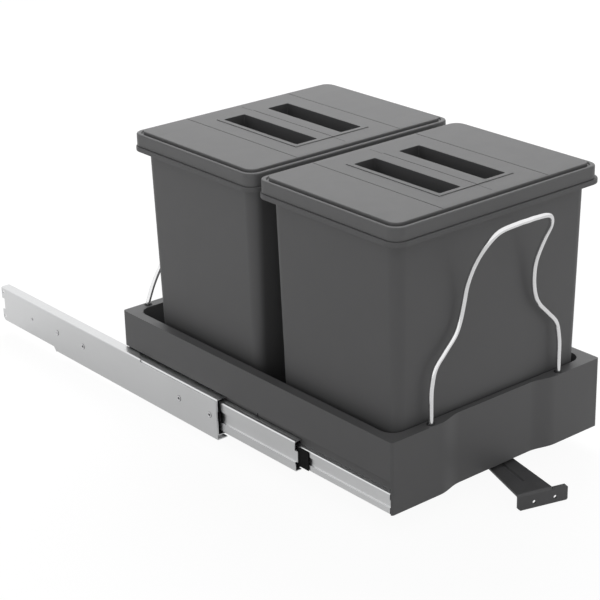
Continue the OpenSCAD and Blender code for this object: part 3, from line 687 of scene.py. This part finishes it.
@dataclass
class RingStack:
    """A closed shell that is lofted through a stack of rings, with a cap at each end.

    The rings are drawn and joined at even levels, so that each finds its neighbour, and
    only then go to their own heights, where some share a plane.
    """

    rings: Sequence[Ring]
    corner_steps: int = 8
    level_step: float = 0.05

    def build(self) -> Mesh:
        """Lofts the rings, caps both ends and rounds the rings that ask for it.

        Returns:
            A new mesh.
        """
        bm = bmesh.new()
        verts = [ring.draw(bm, self.corner_steps, i * self.level_step) for i, ring in enumerate(self.rings)]
        loops = [list({e for v in row for e in v.link_edges}) for row in verts]
        for near, far in zip(loops, loops[1:]):
            bmesh.ops.bridge_loops(bm, edges=near + far)
        for end in (loops[0], loops[-1]):
            bmesh.ops.holes_fill(bm, edges=end, sides=0)
        for i, (ring, row) in enumerate(zip(self.rings, verts)):
            bmesh.ops.translate(bm, vec=(0.0, 0.0, ring.height - i * self.level_step), verts=row)
        face_outwards(bm)
        for ring, loop in zip(self.rings, loops):
            round_edges(bm, loop, ring.rounding, ring.steps)
        return bm


@dataclass
class FlatWork:
    """Work on one flat face of a shell: cuts, raised fields and pockets."""

    bm: Mesh
    height: float
    facing: int
    least_normal: float = 0.9

    def faces(self) -> list[Face]:
        """The faces that lie in the flat."""
        self.bm.normal_update()
        facing = [f for f in self.bm.faces if f.normal.z * self.facing > self.least_normal]
        return [f for f in facing if abs(f.calc_center_median().z - self.height) < LEVEL]

    def cut(self, axis: int, places: Iterable[float]) -> None:
        """Cuts the flat into strips.

        Args:
            axis: 0 for cuts across X, 1 for cuts across Y.
            places: Where on the axis the cuts are.
        """
        for place in places:
            flat = self.faces()
            around = {e for f in flat for e in f.edges} | {v for f in flat for v in f.verts}
            point = [0.0, 0.0, 0.0]
            normal = [0.0, 0.0, 0.0]
            point[axis] = place
            normal[axis] = 1.0
            bmesh.ops.bisect_plane(self.bm, geom=flat + list(around), dist=WELD, plane_co=point,
                                   plane_no=normal)

    def field(self, x: Span, y: Span) -> list[Face]:
        """Finds the flat's faces whose middles lie in a rectangle.

        Args:
            x: The rectangle's span along X.
            y: Its span along Y.

        Returns:
            The faces.
        """
        found = []
        for f in self.faces():
            c = f.calc_center_median()
            if x[0] < c.x < x[1] and y[0] < c.y < y[1]:
                found.append(f)
        return found

    def step(self, faces: list[Face], draft: float, height: float) -> None:
        """Raises or sinks a field.

        Args:
            faces: The field.
            draft: How much its new walls lean inwards.
            height: How far it rises, or sinks where it is negative.
        """
        if faces:
            bmesh.ops.inset_region(self.bm, faces=faces, thickness=draft, depth=height, use_boundary=True,
                                   use_even_offset=True)


# Sub-assemblies


@dataclass
class WasteBin:
    """A tapered waste bin with a hollow flange and a lip."""

    place: BinPlace
    width: float = 0.3288
    depth: float = 0.2412
    height: float = 0.3156
    wall: float = 0.002
    flange_out: float = 0.0131
    flange_height: float = 0.006
    taper: float = 0.007
    flange_corner: float = 0.0187
    body_corner: float = 0.0157
    foot_corner: float = 0.011
    foot_rounding: float = 0.006
    neck_rounding: float = 0.0008
    edge_rounding: float = 0.0006
    flange_rounding: float = 0.0014
    lip: float = 0.010
    lip_rounding: float = 0.0007

    def rings(self) -> list[Ring]:
        """The bin's section, from the foot up the outside and down the inside.

        Returns:
            The rings, in order.
        """
        wall, top = self.wall, self.height
        body_w, body_d = self.width - 2 * self.flange_out, self.depth - 2 * self.flange_out
        foot_w, foot_d = body_w - 2 * self.taper, body_d - 2 * self.taper
        body = (body_w, body_d, self.body_corner)
        inside = (body_w - 2 * wall, body_d - 2 * wall, self.body_corner - wall)
        flange = (self.width, self.depth, self.flange_corner)
        hollow = (self.width - 2 * wall, self.depth - 2 * wall, self.flange_corner - wall)
        under, lip_top = top - self.flange_height, top + self.lip
        return [
            Ring(foot_w, foot_d, self.foot_corner, 0.0, self.foot_rounding, 5),
            Ring(*body, top - wall, self.neck_rounding, 2),
            Ring(*hollow, top - wall),
            Ring(*hollow, under, self.edge_rounding, 2),
            Ring(*flange, under, self.edge_rounding, 2),
            Ring(*flange, top, self.flange_rounding, 4),
            Ring(*body, top, self.edge_rounding, 2),
            Ring(*body, lip_top, self.lip_rounding, 3),
            Ring(*inside, lip_top, self.lip_rounding, 3),
            Ring(foot_w - 2 * wall, foot_d - 2 * wall, self.foot_corner - wall, wall, self.foot_rounding, 5),
        ]

    def build(self, finishes: Finishes) -> None:
        """Makes the bin and stands it in the tray.

        Args:
            finishes: The part's finishes.
        """
        word = self.place.word
        bm = RingStack(self.rings()).build()
        spot = LAYOUT.in_tray(0.0, self.place.value, LAYOUT.bin_floor)
        bmesh.ops.translate(bm, vec=spot, verts=bm.verts)
        to_piece(f"{word}_bin_shell", bm, finishes.plastic, f"{word}_bin_body", [f"{word}_bin"])


@dataclass
class BinLid:
    """A lid with a raised panel, two finger pockets and a grip bar between them."""

    place: BinPlace
    width: float = 0.3214
    depth: float = 0.2372
    corner: float = 0.015
    skirt: float = 0.0158
    wall: float = 0.002
    panel_w: float = 0.3072
    panel_d: float = 0.2218
    panel_corner: float = 0.0114
    panel_top: float = 0.0184
    groove: float = 0.0028
    skirt_rounding: float = 0.0004
    outer_rounding: float = 0.0018
    rim_rounding: float = 0.0012
    groove_rounding: float = 0.0006
    panel_rounding: float = 0.0013
    bar_w: float = 0.038
    pocket_w: float = 0.033
    pocket_l: float = 0.1435
    pocket_depth: float = 0.015
    pocket_draft: float = 0.0006
    pocket_rounding: float = 0.002
    border: float = 0.0064
    border_rise: float = 0.0008
    border_draft: float = 0.0001
    border_rounding: float = 0.00045
    border_groove_w: float = 0.0005
    border_groove_depth: float = 0.0004
    line_x: float = 0.0825
    line_w: float = 0.0011
    line_draft: float = 0.0001
    line_depth: float = 0.0008
    fine_line_w: float = 0.0006
    fine_line_draft: float = 0.00004
    middle_line_l: float = 0.2038
    shift: float = -0.0012
    shift_back: float = 0.0005
    clear: float = 0.0002
    bin_height: float = WasteBin.height

    def rings(self) -> list[Ring]:
        """The lid's section, from the panel's underside out and back over the rim.

        Returns:
            The rings, in order.
        """
        w2, g2 = 2 * self.wall, 2 * self.groove
        inner_panel = (self.panel_w - w2, self.panel_d - w2, self.panel_corner - self.wall)
        inner_skirt = (self.width - w2, self.depth - w2, self.corner - self.wall)
        outer = (self.width, self.depth, self.corner)
        rim = (self.panel_w + g2, self.panel_d + g2, self.panel_corner + self.groove)
        panel = (self.panel_w, self.panel_d, self.panel_corner)
        bottom = self.skirt - self.wall
        return [
            Ring(*inner_panel, self.panel_top - self.wall),
            Ring(*inner_panel, bottom - self.wall),
            Ring(*inner_skirt, bottom - self.wall),
            Ring(*inner_skirt, 0.0, self.skirt_rounding, 2),
            Ring(*outer, 0.0, self.skirt_rounding, 2),
            Ring(*outer, self.skirt, self.outer_rounding, 5),
            Ring(*rim, self.skirt, self.rim_rounding, 4),
            Ring(*rim, bottom, self.groove_rounding, 3),
            Ring(*panel, bottom),
            Ring(*panel, self.panel_top, self.panel_rounding, 4),
        ]

    def pocket_spans(self, wall: float) -> list[Span]:
        """The two pockets' spans across the lid.

        Args:
            wall: What each is widened by on both sides.

        Returns:
            The left span and the right one.
        """
        near = self.bar_w / 2 - wall
        far = self.bar_w / 2 + self.pocket_w + wall
        return [(-far, -near), (near, far)]

    def work_top(self, bm: Mesh) -> None:
        """Cuts the lines, raises the border and sinks the pockets.

        Args:
            bm: The lid.
        """
        line, fine = self.line_w / 2, self.fine_line_w / 2
        border_x = self.bar_w / 2 + self.pocket_w + self.border
        border_y = self.pocket_l / 2 + self.border
        groove_x, groove_y = border_x + self.border_groove_w, border_y + self.border_groove_w
        pocket_y = self.pocket_l / 2
        middle_y = self.middle_line_l / 2
        left, right = self.pocket_spans(0.0)

        top = FlatWork(bm, self.panel_top, 1)
        top.cut(0, [side * self.line_x + edge for side in (-1, 1) for edge in (-line, line)])
        top.cut(0, [-groove_x, -border_x, border_x, groove_x, -line, -fine, fine, line])
        top.cut(0, [*left, *right])
        top.cut(1, [-groove_y, -border_y, border_y, groove_y, -pocket_y, pocket_y, -middle_y, middle_y])
        for at in (-self.line_x, self.line_x):
            across = top.field((at - line, at + line), (-self.depth, self.depth))
            top.step(across, self.line_draft, -self.line_depth)
        for span in ((-middle_y, -groove_y), (groove_y, middle_y)):
            top.step(top.field((-fine, fine), span), self.fine_line_draft, -self.line_depth)
        grooved = top.field((-groove_x, groove_x), (-groove_y, groove_y))
        top.step(grooved, self.fine_line_draft, -self.border_groove_depth)

        lower = FlatWork(bm, self.panel_top - self.border_groove_depth, 1)
        raised = lower.field((-border_x, border_x), (-border_y, border_y))
        lower.step(raised, self.border_draft, self.border_groove_depth + self.border_rise)

        upper = FlatWork(bm, self.panel_top + self.border_rise, 1)
        for span in (left, right):
            pocket = upper.field(span, (-pocket_y, pocket_y))
            upper.step(pocket, self.pocket_draft, -self.pocket_depth - self.border_rise)
        upper.step(upper.field((-line, line), (-border_y, border_y)), self.fine_line_draft, -self.line_depth)

    def work_underside(self, bm: Mesh) -> None:
        """Lets the pockets stand out below, with their own walls.

        Args:
            bm: The lid.
        """
        below = FlatWork(bm, self.panel_top - self.wall, -1)
        pocket_y = self.pocket_l / 2 + self.wall
        left, right = self.pocket_spans(self.wall)
        below.cut(0, [*left, *right])
        below.cut(1, [-pocket_y, pocket_y])
        for span in (left, right):
            below.step(below.field(span, (-pocket_y, pocket_y)), self.pocket_draft, self.pocket_depth)

    def round_pockets(self, bm: Mesh) -> None:
        """Rounds the pockets' corners and the border's upper edges.

        Args:
            bm: The lid.
        """
        half_x = self.bar_w / 2 + self.pocket_w + self.border
        half_y = self.pocket_l / 2 + self.border
        level = self.panel_top + self.border_rise
        most_of_depth = 0.8 * self.pocket_depth

        def upright(a: Vector, b: Vector) -> bool:
            """Whether an edge runs down a pocket's corner."""
            tall = abs(a.z - b.z) > most_of_depth
            return tall and abs(a.x) < half_x and abs(a.y) < half_y and max(a.z, b.z) > self.panel_top

        def upper(a: Vector, b: Vector) -> bool:
            """Whether an edge bounds the raised border's top."""
            flush = max(abs(a.z - level), abs(b.z - level)) < LEVEL
            return flush and min(abs(a.x), abs(b.x)) > self.line_w

        round_edges(bm, sharp_edges(bm, upright), self.pocket_rounding, 4)
        round_edges(bm, sharp_edges(bm, upper), self.border_rounding, 2)

    def mark_pockets(self, bm: Mesh) -> None:
        """Marks the pockets' insides for painted shade: a darker plastic, with a coarser grain, that stands
        in for the shade in the pockets.

        Args:
            bm: The lid.
        """
        slack, mouth = 0.0001, 0.0007
        near, far = self.bar_w / 2 - slack, self.bar_w / 2 + self.pocket_w + slack
        half_y = self.pocket_l / 2 + slack
        low = self.panel_top - self.pocket_depth - slack
        high = self.panel_top + self.border_rise - mouth
        # Painted shade: the faces inside the pockets take the darker plastic.
        for f in bm.faces:
            c = f.calc_center_median()
            if near < abs(c.x) < far and abs(c.y) < half_y and low < c.z < high:
                f.material_index = 1

    def build(self, finishes: Finishes) -> None:
        """Makes the lid and lays it on its bin.

        Args:
            finishes: The part's finishes.
        """
        word = self.place.word
        bm = RingStack(self.rings()).build()
        self.work_top(bm)
        self.work_underside(bm)
        self.round_pockets(bm)
        self.mark_pockets(bm)
        spot = LAYOUT.in_tray(self.shift, self.place.value + self.shift_back,
                              LAYOUT.bin_floor + self.bin_height + self.clear)
        bmesh.ops.translate(bm, vec=spot, verts=bm.verts)
        to_piece(f"{word}_lid_shell", bm, finishes.lid, f"{word}_lid_body", [f"{word}_lid"],
                 finishes.pocket)


@dataclass
class WireHoop:
    """A hoop of round wire that springs from two grommets in the tray's rim.

    Its half is a list of points in millimetres: out from the middle, back from the leg and
    up from the rim.
    """

    name: str
    leg_x: float
    leg_y: float
    lean: int
    half: Sequence[Point]
    radius: float = 0.003
    foot_depth: float = 0.0355
    foot_rise: float = 0.001
    steps: int = 6
    sides: int = 20

    def route(self) -> list[Vector]:
        """The wire's middle line, from the left foot over the top to the right foot.

        Returns:
            Its points, on a smooth curve through the half's points and their mirror.
        """
        rim = LAYOUT.tray_height
        stretch = self.leg_x / self.half[0][0]

        def spot(q: Point, side: int) -> Vector:
            """A point of the half that is given, on one side."""
            return LAYOUT.in_tray(side * stretch * q[0], self.leg_y - self.lean * q[1] * MM, rim + q[2] * MM)

        knots = [spot(q, -1) for q in self.half] + [spot(q, 1) for q in reversed(self.half[:-1])]
        last = len(knots) - 1
        line: list[Vector] = []
        for i in range(last):
            a, b, c, d = (knots[max(0, min(last, k))] for k in (i - 1, i, i + 1, i + 2))
            for k in range(self.steps):
                t = k / self.steps
                line.append(0.5 * (2 * b + (c - a) * t + (2 * a - 5 * b + 4 * c - d) * t * t
                                   + (3 * b - a - 3 * c + d) * t ** 3))
        line.append(knots[-1])
        low, high = rim - self.foot_depth, rim + self.foot_rise
        left = [LAYOUT.in_tray(-self.leg_x, self.leg_y, z) for z in (low, high)]
        right = [LAYOUT.in_tray(self.leg_x, self.leg_y, z) for z in (high, low)]
        return [*left, *line, *right]

    def build(self, finishes: Finishes) -> None:
        """Sweeps a circle along the route and caps its ends.

        Args:
            finishes: The part's finishes.
        """
        points = self.route()
        bm = bmesh.new()
        loops: list[list[Edge]] = []
        normal = Vector((0.0, 1.0, 0.0))
        before = (points[1] - points[0]).normalized()
        for i, point in enumerate(points):
            ahead = (points[min(i + 1, len(points) - 1)] - points[max(i - 1, 0)]).normalized()
            normal = before.rotation_difference(ahead) @ normal
            normal = (normal - ahead * normal.dot(ahead)).normalized()
            before = ahead
            turn = Matrix((normal, ahead.cross(normal), ahead)).transposed().to_4x4()
            turn.translation = point
            made = bmesh.ops.create_circle(bm, cap_ends=False, segments=self.sides, radius=self.radius,
                                           matrix=turn)
            loops.append(list({e for v in made["verts"] for e in v.link_edges}))
        for near, far in zip(loops, loops[1:]):
            bmesh.ops.bridge_loops(bm, edges=near + far)
        for end in (loops[0], loops[-1]):
            bmesh.ops.holes_fill(bm, edges=end, sides=0)
        face_outwards(bm)
        to_piece(f"{self.name}_wire", bm, finishes.wire, "pull_out", [self.name])


@dataclass
class HoopSet:
    """Both hoops, and the grommets that their legs stand in."""

    leg_inset: float = 0.0066
    front_leg_x: float = 0.1045
    rear_leg_x: float = 0.1345
    front_half: Sequence[Point] = (
        (104.5, 0, 29), (103.5, 0, 45), (98, 0, 66), (83.5, 0, 82), (67.5, 0, 98.5), (60, 0, 114.5),
        (56.2, 1.5, 135), (55, 5.5, 157.5), (54.5, 16.5, 184.5), (51.5, 30, 208.5), (39.2, 38, 224),
        (14, 42, 228.5), (0, 43, 229))
    rear_half: Sequence[Point] = (
        (134.5, 0, 3), (130, 0, 14), (124, 0, 27), (115, 0, 42), (101, 0, 61), (84, 0, 81), (69, 0, 99),
        (60.5, 0, 117), (57, 0, 137), (55, 0, 161), (50, 0, 184), (38, 0, 201), (20, 0, 208), (0, 0, 210))
    # Up the grommet's bore, over its rounded collar and down its sleeve, in millimetres.
    grommet_outline: Profile = (
        (3.1, -12.0), (3.1, 0.9), (3.3, 1.14), (3.7, 1.2), (4.3, 1.14), (4.9, 0.78), (5.1, 0.24), (5.1, 0.0),
        (4.2, 0.0), (4.2, -12.0))
    grommet_sides: int = 28

    def grommets(self, legs: Sequence[Span], finishes: Finishes) -> None:
        """Spins one grommet and sets a copy at each leg.

        Args:
            legs: The legs' places across the tray and behind its front.
            finishes: The part's finishes.
        """
        one = turned(self.grommet_outline, self.grommet_sides)
        bm = bmesh.new()
        for x, y in legs:
            add_copy(bm, one, Matrix.Translation(LAYOUT.in_tray(x, y, LAYOUT.tray_height)))
        one.free()
        to_piece("hoop_grommet_set", bm, finishes.grommet, "pull_out", ["hoop_grommets"])

    def build(self, finishes: Finishes) -> None:
        """Makes the hoops, which lean towards the bins, and the grommets.

        Args:
            finishes: The part's finishes.
        """
        front_y, rear_y = self.leg_inset, LAYOUT.tray_length - self.leg_inset
        WireHoop("front_hoop", self.front_leg_x, front_y, 1, self.front_half).build(finishes)
        WireHoop("rear_hoop", self.rear_leg_x, rear_y, -1, self.rear_half).build(finishes)
        legs = [(side * x, y) for x, y in ((self.front_leg_x, front_y), (self.rear_leg_x, rear_y))
                for side in (-1, 1)]
        self.grommets(legs, finishes)


@dataclass
class MouldedTray:
    """The tray: the CAD form with its rim rounded as a moulding's is, and painted shade in the seam in its
    sides.
    """

    rim_rounding: float = 0.0011
    seam_y: float = 0.2475
    seam_w: float = 0.0016
    side_wall: float = 0.008
    seam_below_rim: float = 0.02

    def build(self, finishes: Finishes) -> None:
        """Copies the CAD tray, rounds its rim, paints the seam's groove black as painted shade and gives it
        its finish.

        Args:
            finishes: The part's finishes.
        """
        bm = merged_copy("tray")
        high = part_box("tray")[1]
        top, side = high.z, high.x

        def on_rim(a: Vector, b: Vector) -> bool:
            """Whether an edge lies in the rim's top."""
            return max(abs(a.z - top), abs(b.z - top)) < LEVEL

        round_edges(bm, sharp_edges(bm, on_rim), self.rim_rounding, 3)
        # Painted shade: the faces of the seam's groove in the side walls take the black cage plastic, which
        # stands in for the shade in the groove.
        seam = LAYOUT.tray_front_y + self.seam_y
        for f in bm.faces:
            c = f.calc_center_median()
            painted_seam_shade = abs(c.y - seam) <= self.seam_w / 2 + LEVEL and c.z < top - self.seam_below_rim
            if painted_seam_shade and side - self.side_wall < abs(c.x) < side - LEVEL:
                f.material_index = 1
        to_piece("moulded_tray", bm, finishes.plastic, "pull_out", ["tray"], finishes.cage)


@dataclass
class Runner:
    """One ball-bearing runner with its cabinet bracket, rivets and screws.

    The outlines of the rivet and of the screw are in millimetres, out from the middle and
    up from the sheet's face.
    """

    side: Side
    bracket_face: float = 0.182
    edge_rounding: float = 0.0003
    longwise_from: float = 0.02
    # From the rivet's bore over its rolled head, down its shank and round its flared end.
    rivet_outline: Profile = (
        (1.8, -3.5), (1.8, 0.3), (1.9, 0.55), (2.2, 0.74), (2.6, 0.8), (3.1, 0.74), (3.5, 0.56), (3.8, 0.3),
        (4.0, 0.0), (2.6, 0.0), (2.6, -2.7), (3.5, -2.7), (3.5, -3.2), (3.1, -3.5))
    rivet_sides: int = 36
    rivet_flank: float = 0.0033
    rivet_ys: Sequence[float] = (0.014, 0.078, 0.298, 0.362)
    # From the middle of the pan head down to the tip.
    screw_outline: Profile = (
        (0.0, 1.9), (0.9, 1.9), (1.8, 1.8), (2.6, 1.5), (3.2, 1.0), (3.6, 0.4), (3.6, 0.0), (1.75, 0.0),
        (1.75, -8.2), (0.0, -9.2))
    screw_sides: int = 32
    recess_from: float = 0.0014
    recess_reach: float = 0.0021
    recess_depth: float = 0.0009
    screw_seat: float = 0.0134
    screw_ys: Sequence[float] = (0.170, 0.300, 0.440)

    def facing(self, depth: float, y: float) -> Matrix:
        """A place whose Z points out of the runner.

        Args:
            depth: How deep it lies behind the bracket's face.
            y: Where it lies along the runner.

        Returns:
            The place.
        """
        k = self.side.value
        turn = Matrix.Rotation(k * math.pi / 2, 4, "Y")
        return Matrix.Translation((k * (self.bracket_face - depth), y, 0.0)) @ turn

    def rivets(self, finishes: Finishes) -> None:
        """Makes the tubular rivets, with painted shade on the outer flank of their rolled heads.

        Args:
            finishes: The part's finishes.
        """
        one = turned(self.rivet_outline, self.rivet_sides)
        # Painted shade: the head's outer flank takes the dark zinc.
        for f in one.faces:
            c = f.calc_center_median()
            if c.z > 0.0 and math.hypot(c.x, c.y) > self.rivet_flank:
                f.material_index = 1
        bm = bmesh.new()
        for y in self.rivet_ys:
            add_copy(bm, one, self.facing(0.0, y))
        one.free()
        word = self.side.word
        to_piece(f"{word}_rivet_set", bm, finishes.rivet, "cabinet_rails",
                 [f"{word}_rail_rivets"], finishes.worn)

    def screws(self, finishes: Finishes) -> None:
        """Makes the pan-head screws that hold the tray to the drawer rail.

        Args:
            finishes: The part's finishes.
        """
        one = turned(self.screw_outline, self.screw_sides, False)
        cross_recess(one, self.recess_from, self.recess_reach, self.recess_depth)
        bm = bmesh.new()
        for y in self.screw_ys:
            add_copy(bm, one, self.facing(self.screw_seat, LAYOUT.tray_front_y + y))
        one.free()
        word = self.side.word
        to_piece(f"{word}_screw_set", bm, finishes.rivet, "pull_out", [f"{word}_rail_screws"])

    def sheet(self, node: str, finishes: Finishes) -> None:
        """Copies a rail or a bracket and breaks the edges that run along it.

        Args:
            node: The CAD node's name without its side.
            finishes: The part's finishes.
        """
        name = f"{self.side.word}_{node}"
        bm = merged_copy(name)

        def lengthwise(a: Vector, b: Vector) -> bool:
            """Whether an edge runs along the runner."""
            return abs(a.y - b.y) > self.longwise_from and abs(a.x - b.x) + abs(a.z - b.z) < LEVEL

        round_edges(bm, sharp_edges(bm, lengthwise), self.edge_rounding, 2)
        to_piece(f"{name}_sheet", bm, finishes.zinc, frame["nodes"][name]["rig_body"], [name])

    def build(self, finishes: Finishes) -> None:
        """Makes the rails' sheets, dresses the cages and balls and adds rivets and screws.

        Args:
            finishes: The part's finishes.
        """
        for node in ("cabinet_bracket", "fixed_rail", "middle_rail", "drawer_rail"):
            self.sheet(node, finishes)
        for row in ("outer", "inner"):
            dress_node(f"{self.side.word}_{row}_cage", finishes.cage)
            dress_node(f"{self.side.word}_{row}_balls", finishes.ball)
        self.rivets(finishes)
        self.screws(finishes)


@dataclass
class DoorArm:
    """The turning arm under the tray, with the plate that the cabinet door is screwed to."""

    pivot: Span = (0.0355, -0.2385)
    arm_top: float = -0.0194
    thickness: float = 0.0025
    edge_rounding: float = 0.0003
    sharp_deg: float = 60.0
    # From the middle of the shoulder screw's head down to its tip, in millimetres.
    screw_outline: Profile = (
        (0.0, 3.0), (1.4, 3.0), (3.4, 2.8), (5.0, 2.2), (5.8, 1.2), (6.0, 0.4), (6.0, 0.0), (3.0, 0.0),
        (3.0, -11.8), (2.4, -12.8), (0.0, -12.8))
    screw_sides: int = 36
    screw_clear: float = 0.0001
    recess_from: float = 0.0024
    recess_reach: float = 0.0036
    recess_depth: float = 0.0014

    def build(self, finishes: Finishes) -> None:
        """Rounds the sheet's cut edges and adds the pivot's screw and washer.

        Args:
            finishes: The part's finishes.
        """
        bm = merged_copy("door_bracket")
        round_edges(bm, sharp_edges(bm, lambda a, b: True, self.sharp_deg), self.edge_rounding, 2)
        to_piece("door_bracket_sheet", bm, finishes.paint, "door_arm", ["door_bracket"])
        screw = turned(self.screw_outline, self.screw_sides, False)
        cross_recess(screw, self.recess_from, self.recess_reach, self.recess_depth)
        under = self.arm_top - self.thickness - self.screw_clear
        turn = Matrix.Translation((*self.pivot, under)) @ Matrix.Rotation(math.pi, 4, "X")
        bmesh.ops.transform(screw, matrix=turn, verts=screw.verts)
        to_piece("pivot_screw_turned", screw, finishes.rivet, "pull_out", ["pivot_screw"])
        dress_node("pivot_washer", finishes.zinc)


# Room


@dataclass
class Studio:
    """Pale floor, soft light and the photograph's camera."""

    camera_at: Point = (-1.3747, -1.6313, 0.9894)
    yaw_deg: float = 39.21
    pitch_deg: float = 22.45
    roll_deg: float = -1.44
    lens: float = 108.8
    sensor: float = 36.0
    clip: Span = (0.05, 60.0)
    sky: float = 0.31
    key_power: float = 46.0
    key_at: Point = (1.15, 1.25, 1.75)
    key_size: float = 1.7
    fill_power: float = 2.2
    fill_at: Point = (-1.7, -0.5, 0.7)
    front_power: float = 1.5
    front_at: Point = (1.1, -1.2, 0.3)
    fill_size: float = 0.9
    aim: Point = (0.0, -0.05, 0.15)
    floor_half: float = 14.0
    floor_colour: Colour = (0.8, 0.8, 0.8)
    floor_light: float = 1.07
    floor_lit_share: float = 0.88
    # Painted reflection: the floor's glow, which only mirror rays see, with its levels along Y.
    glow_share: float = 0.8
    glow_span: Span = (-0.4, 0.6)
    glow_levels: Profile = ((0.0, 0.74), (0.2, 0.68), (0.35, 0.58), (0.6, 0.59), (0.8, 0.66), (1.0, 0.84))

    def camera(self) -> None:
        """Stands the camera where the photograph was taken from."""
        yaw, pitch, roll = (math.radians(v) for v in (self.yaw_deg, self.pitch_deg, self.roll_deg))
        ahead = Vector((math.sin(yaw) * math.cos(pitch), math.cos(yaw) * math.cos(pitch), -math.sin(pitch)))
        level = Vector((math.cos(yaw), -math.sin(yaw), 0.0))
        upright = level.cross(ahead)
        right = math.cos(roll) * level + math.sin(roll) * upright
        up = math.cos(roll) * upright - math.sin(roll) * level
        data = bpy.data.cameras.new("photo camera")
        data.lens, data.sensor_width = self.lens, self.sensor
        data.clip_start, data.clip_end = self.clip
        obj = bpy.data.objects.new("photo camera", data)
        bpy.context.scene.collection.objects.link(obj)
        place = Matrix((right, up, -ahead)).transposed().to_4x4()
        place.translation = self.camera_at
        obj.matrix_world = place
        bpy.context.scene.camera = obj

    def world(self) -> None:
        """A soft sky, white wherever the camera or a reflection sees it."""
        world = bpy.data.worlds.new("white room")
        bpy.context.scene.world = world
        s = Shader(world, "ShaderNodeOutputWorld")
        path = s.add("ShaderNodeLightPath")
        mirrored = s.work_out("MAXIMUM", path.outputs["Is Glossy Ray"], path.outputs["Is Transmission Ray"])
        seen = s.work_out("MAXIMUM", path.outputs["Is Camera Ray"], mirrored)
        dim = s.add("ShaderNodeBackground", Color=WHITE, Strength=self.sky)
        white = s.add("ShaderNodeBackground", Color=WHITE)
        s.finish(s.mix(seen, dim.outputs[0], white.outputs[0]))

    def floor_finish(self) -> Material:
        """The floor's material: matt and pale, with a painted reflection: a glow graded along Y that only
        mirror rays see and that sets how bright the metal looks.

        Returns:
            The material.
        """
        s = Shader(bpy.data.materials.new("pale floor"))
        path = s.add("ShaderNodeLightPath")
        matt = s.add("ShaderNodeBsdfDiffuse", Color=(*self.floor_colour, 1.0))
        lit = s.add("ShaderNodeEmission", Strength=self.floor_light)
        seen = s.work_out("MULTIPLY", path.outputs["Is Camera Ray"], self.floor_lit_share)
        pale = s.mix(seen, matt.outputs[0], lit.outputs[0])
        # Painted reflection: a glow graded along Y, seen only by mirror rays, sets the metal's brightness
        # from front to back.
        near, far = self.glow_span
        along = s.add("ShaderNodeSeparateXYZ", Vector=s.add("ShaderNodeTexCoord").outputs["Object"])
        reach = s.add("ShaderNodeMapRange", Value=along.outputs["Y"], From_Min=near, From_Max=far)
        ramp = s.add("ShaderNodeValToRGB", Fac=reach.outputs["Result"])
        stops = ramp.color_ramp.elements
        for place, _ in self.glow_levels[1:-1]:
            stops.new(place)
        for stop, (place, level) in zip(stops, self.glow_levels):
            stop.position = place
            stop.color = (level, level, level, 1.0)
        glow = s.add("ShaderNodeEmission", Color=ramp.outputs["Color"])
        mirrored = s.work_out("MULTIPLY", path.outputs["Is Glossy Ray"], self.glow_share)
        return s.finish(s.mix(mirrored, pale, glow.outputs[0]))

    def floor(self) -> None:
        """A pale floor that keeps a faint shadow under the part."""
        bm = bmesh.new()
        bmesh.ops.create_grid(bm, x_segments=1, y_segments=1, size=self.floor_half)
        bmesh.ops.translate(bm, vec=(0.0, 0.0, LAYOUT.floor_z), verts=bm.verts)
        mesh = bpy.data.meshes.new("floor")
        bm.to_mesh(mesh)
        bm.free()
        mesh.materials.append(self.floor_finish())
        obj = bpy.data.objects.new("floor", mesh)
        bpy.context.scene.collection.objects.link(obj)

    def lamp(self, name: str, at: Point, size: float, power: float) -> None:
        """Hangs a square lamp that looks at the part and isn't mirrored in it.

        Args:
            name: The lamp's name.
            at: Where it hangs.
            size: Its side.
            power: Its power in watts.
        """
        data = bpy.data.lights.new(name, "AREA")
        data.shape, data.size, data.energy = "SQUARE", size, power
        obj = bpy.data.objects.new(name, data)
        bpy.context.scene.collection.objects.link(obj)
        towards = Vector(self.aim) - Vector(at)
        place = towards.to_track_quat("-Z", "Y").to_matrix().to_4x4()
        place.translation = at
        obj.matrix_world = place
        obj.visible_glossy = False

    def build(self) -> None:
        """Sets up the room, with a large lamp behind the part and two weak ones before it."""
        self.camera()
        self.world()
        self.floor()
        self.lamp("key", self.key_at, self.key_size, self.key_power)
        self.lamp("left fill", self.fill_at, self.fill_size, self.fill_power)
        self.lamp("front fill", self.front_at, self.fill_size, self.front_power)
        bpy.context.scene.view_settings.view_transform = "Standard"
        log.info("studio ready")


def main() -> None:
    """Builds and dresses every piece."""
    logging.basicConfig(level=logging.INFO, format="%(message)s")
    for obj in list(bpy.data.objects):
        if "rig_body" not in obj and not obj.name.startswith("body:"):
            bpy.data.objects.remove(obj)
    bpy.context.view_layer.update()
    Studio().build()
    finishes = Finishes()
    MouldedTray().build(finishes)
    for place in BinPlace:
        WasteBin(place).build(finishes)
        BinLid(place).build(finishes)
    HoopSet().build(finishes)
    for side in Side:
        Runner(side).build(finishes)
    DoorArm().build(finishes)


if __name__ == "__main__":
    main()
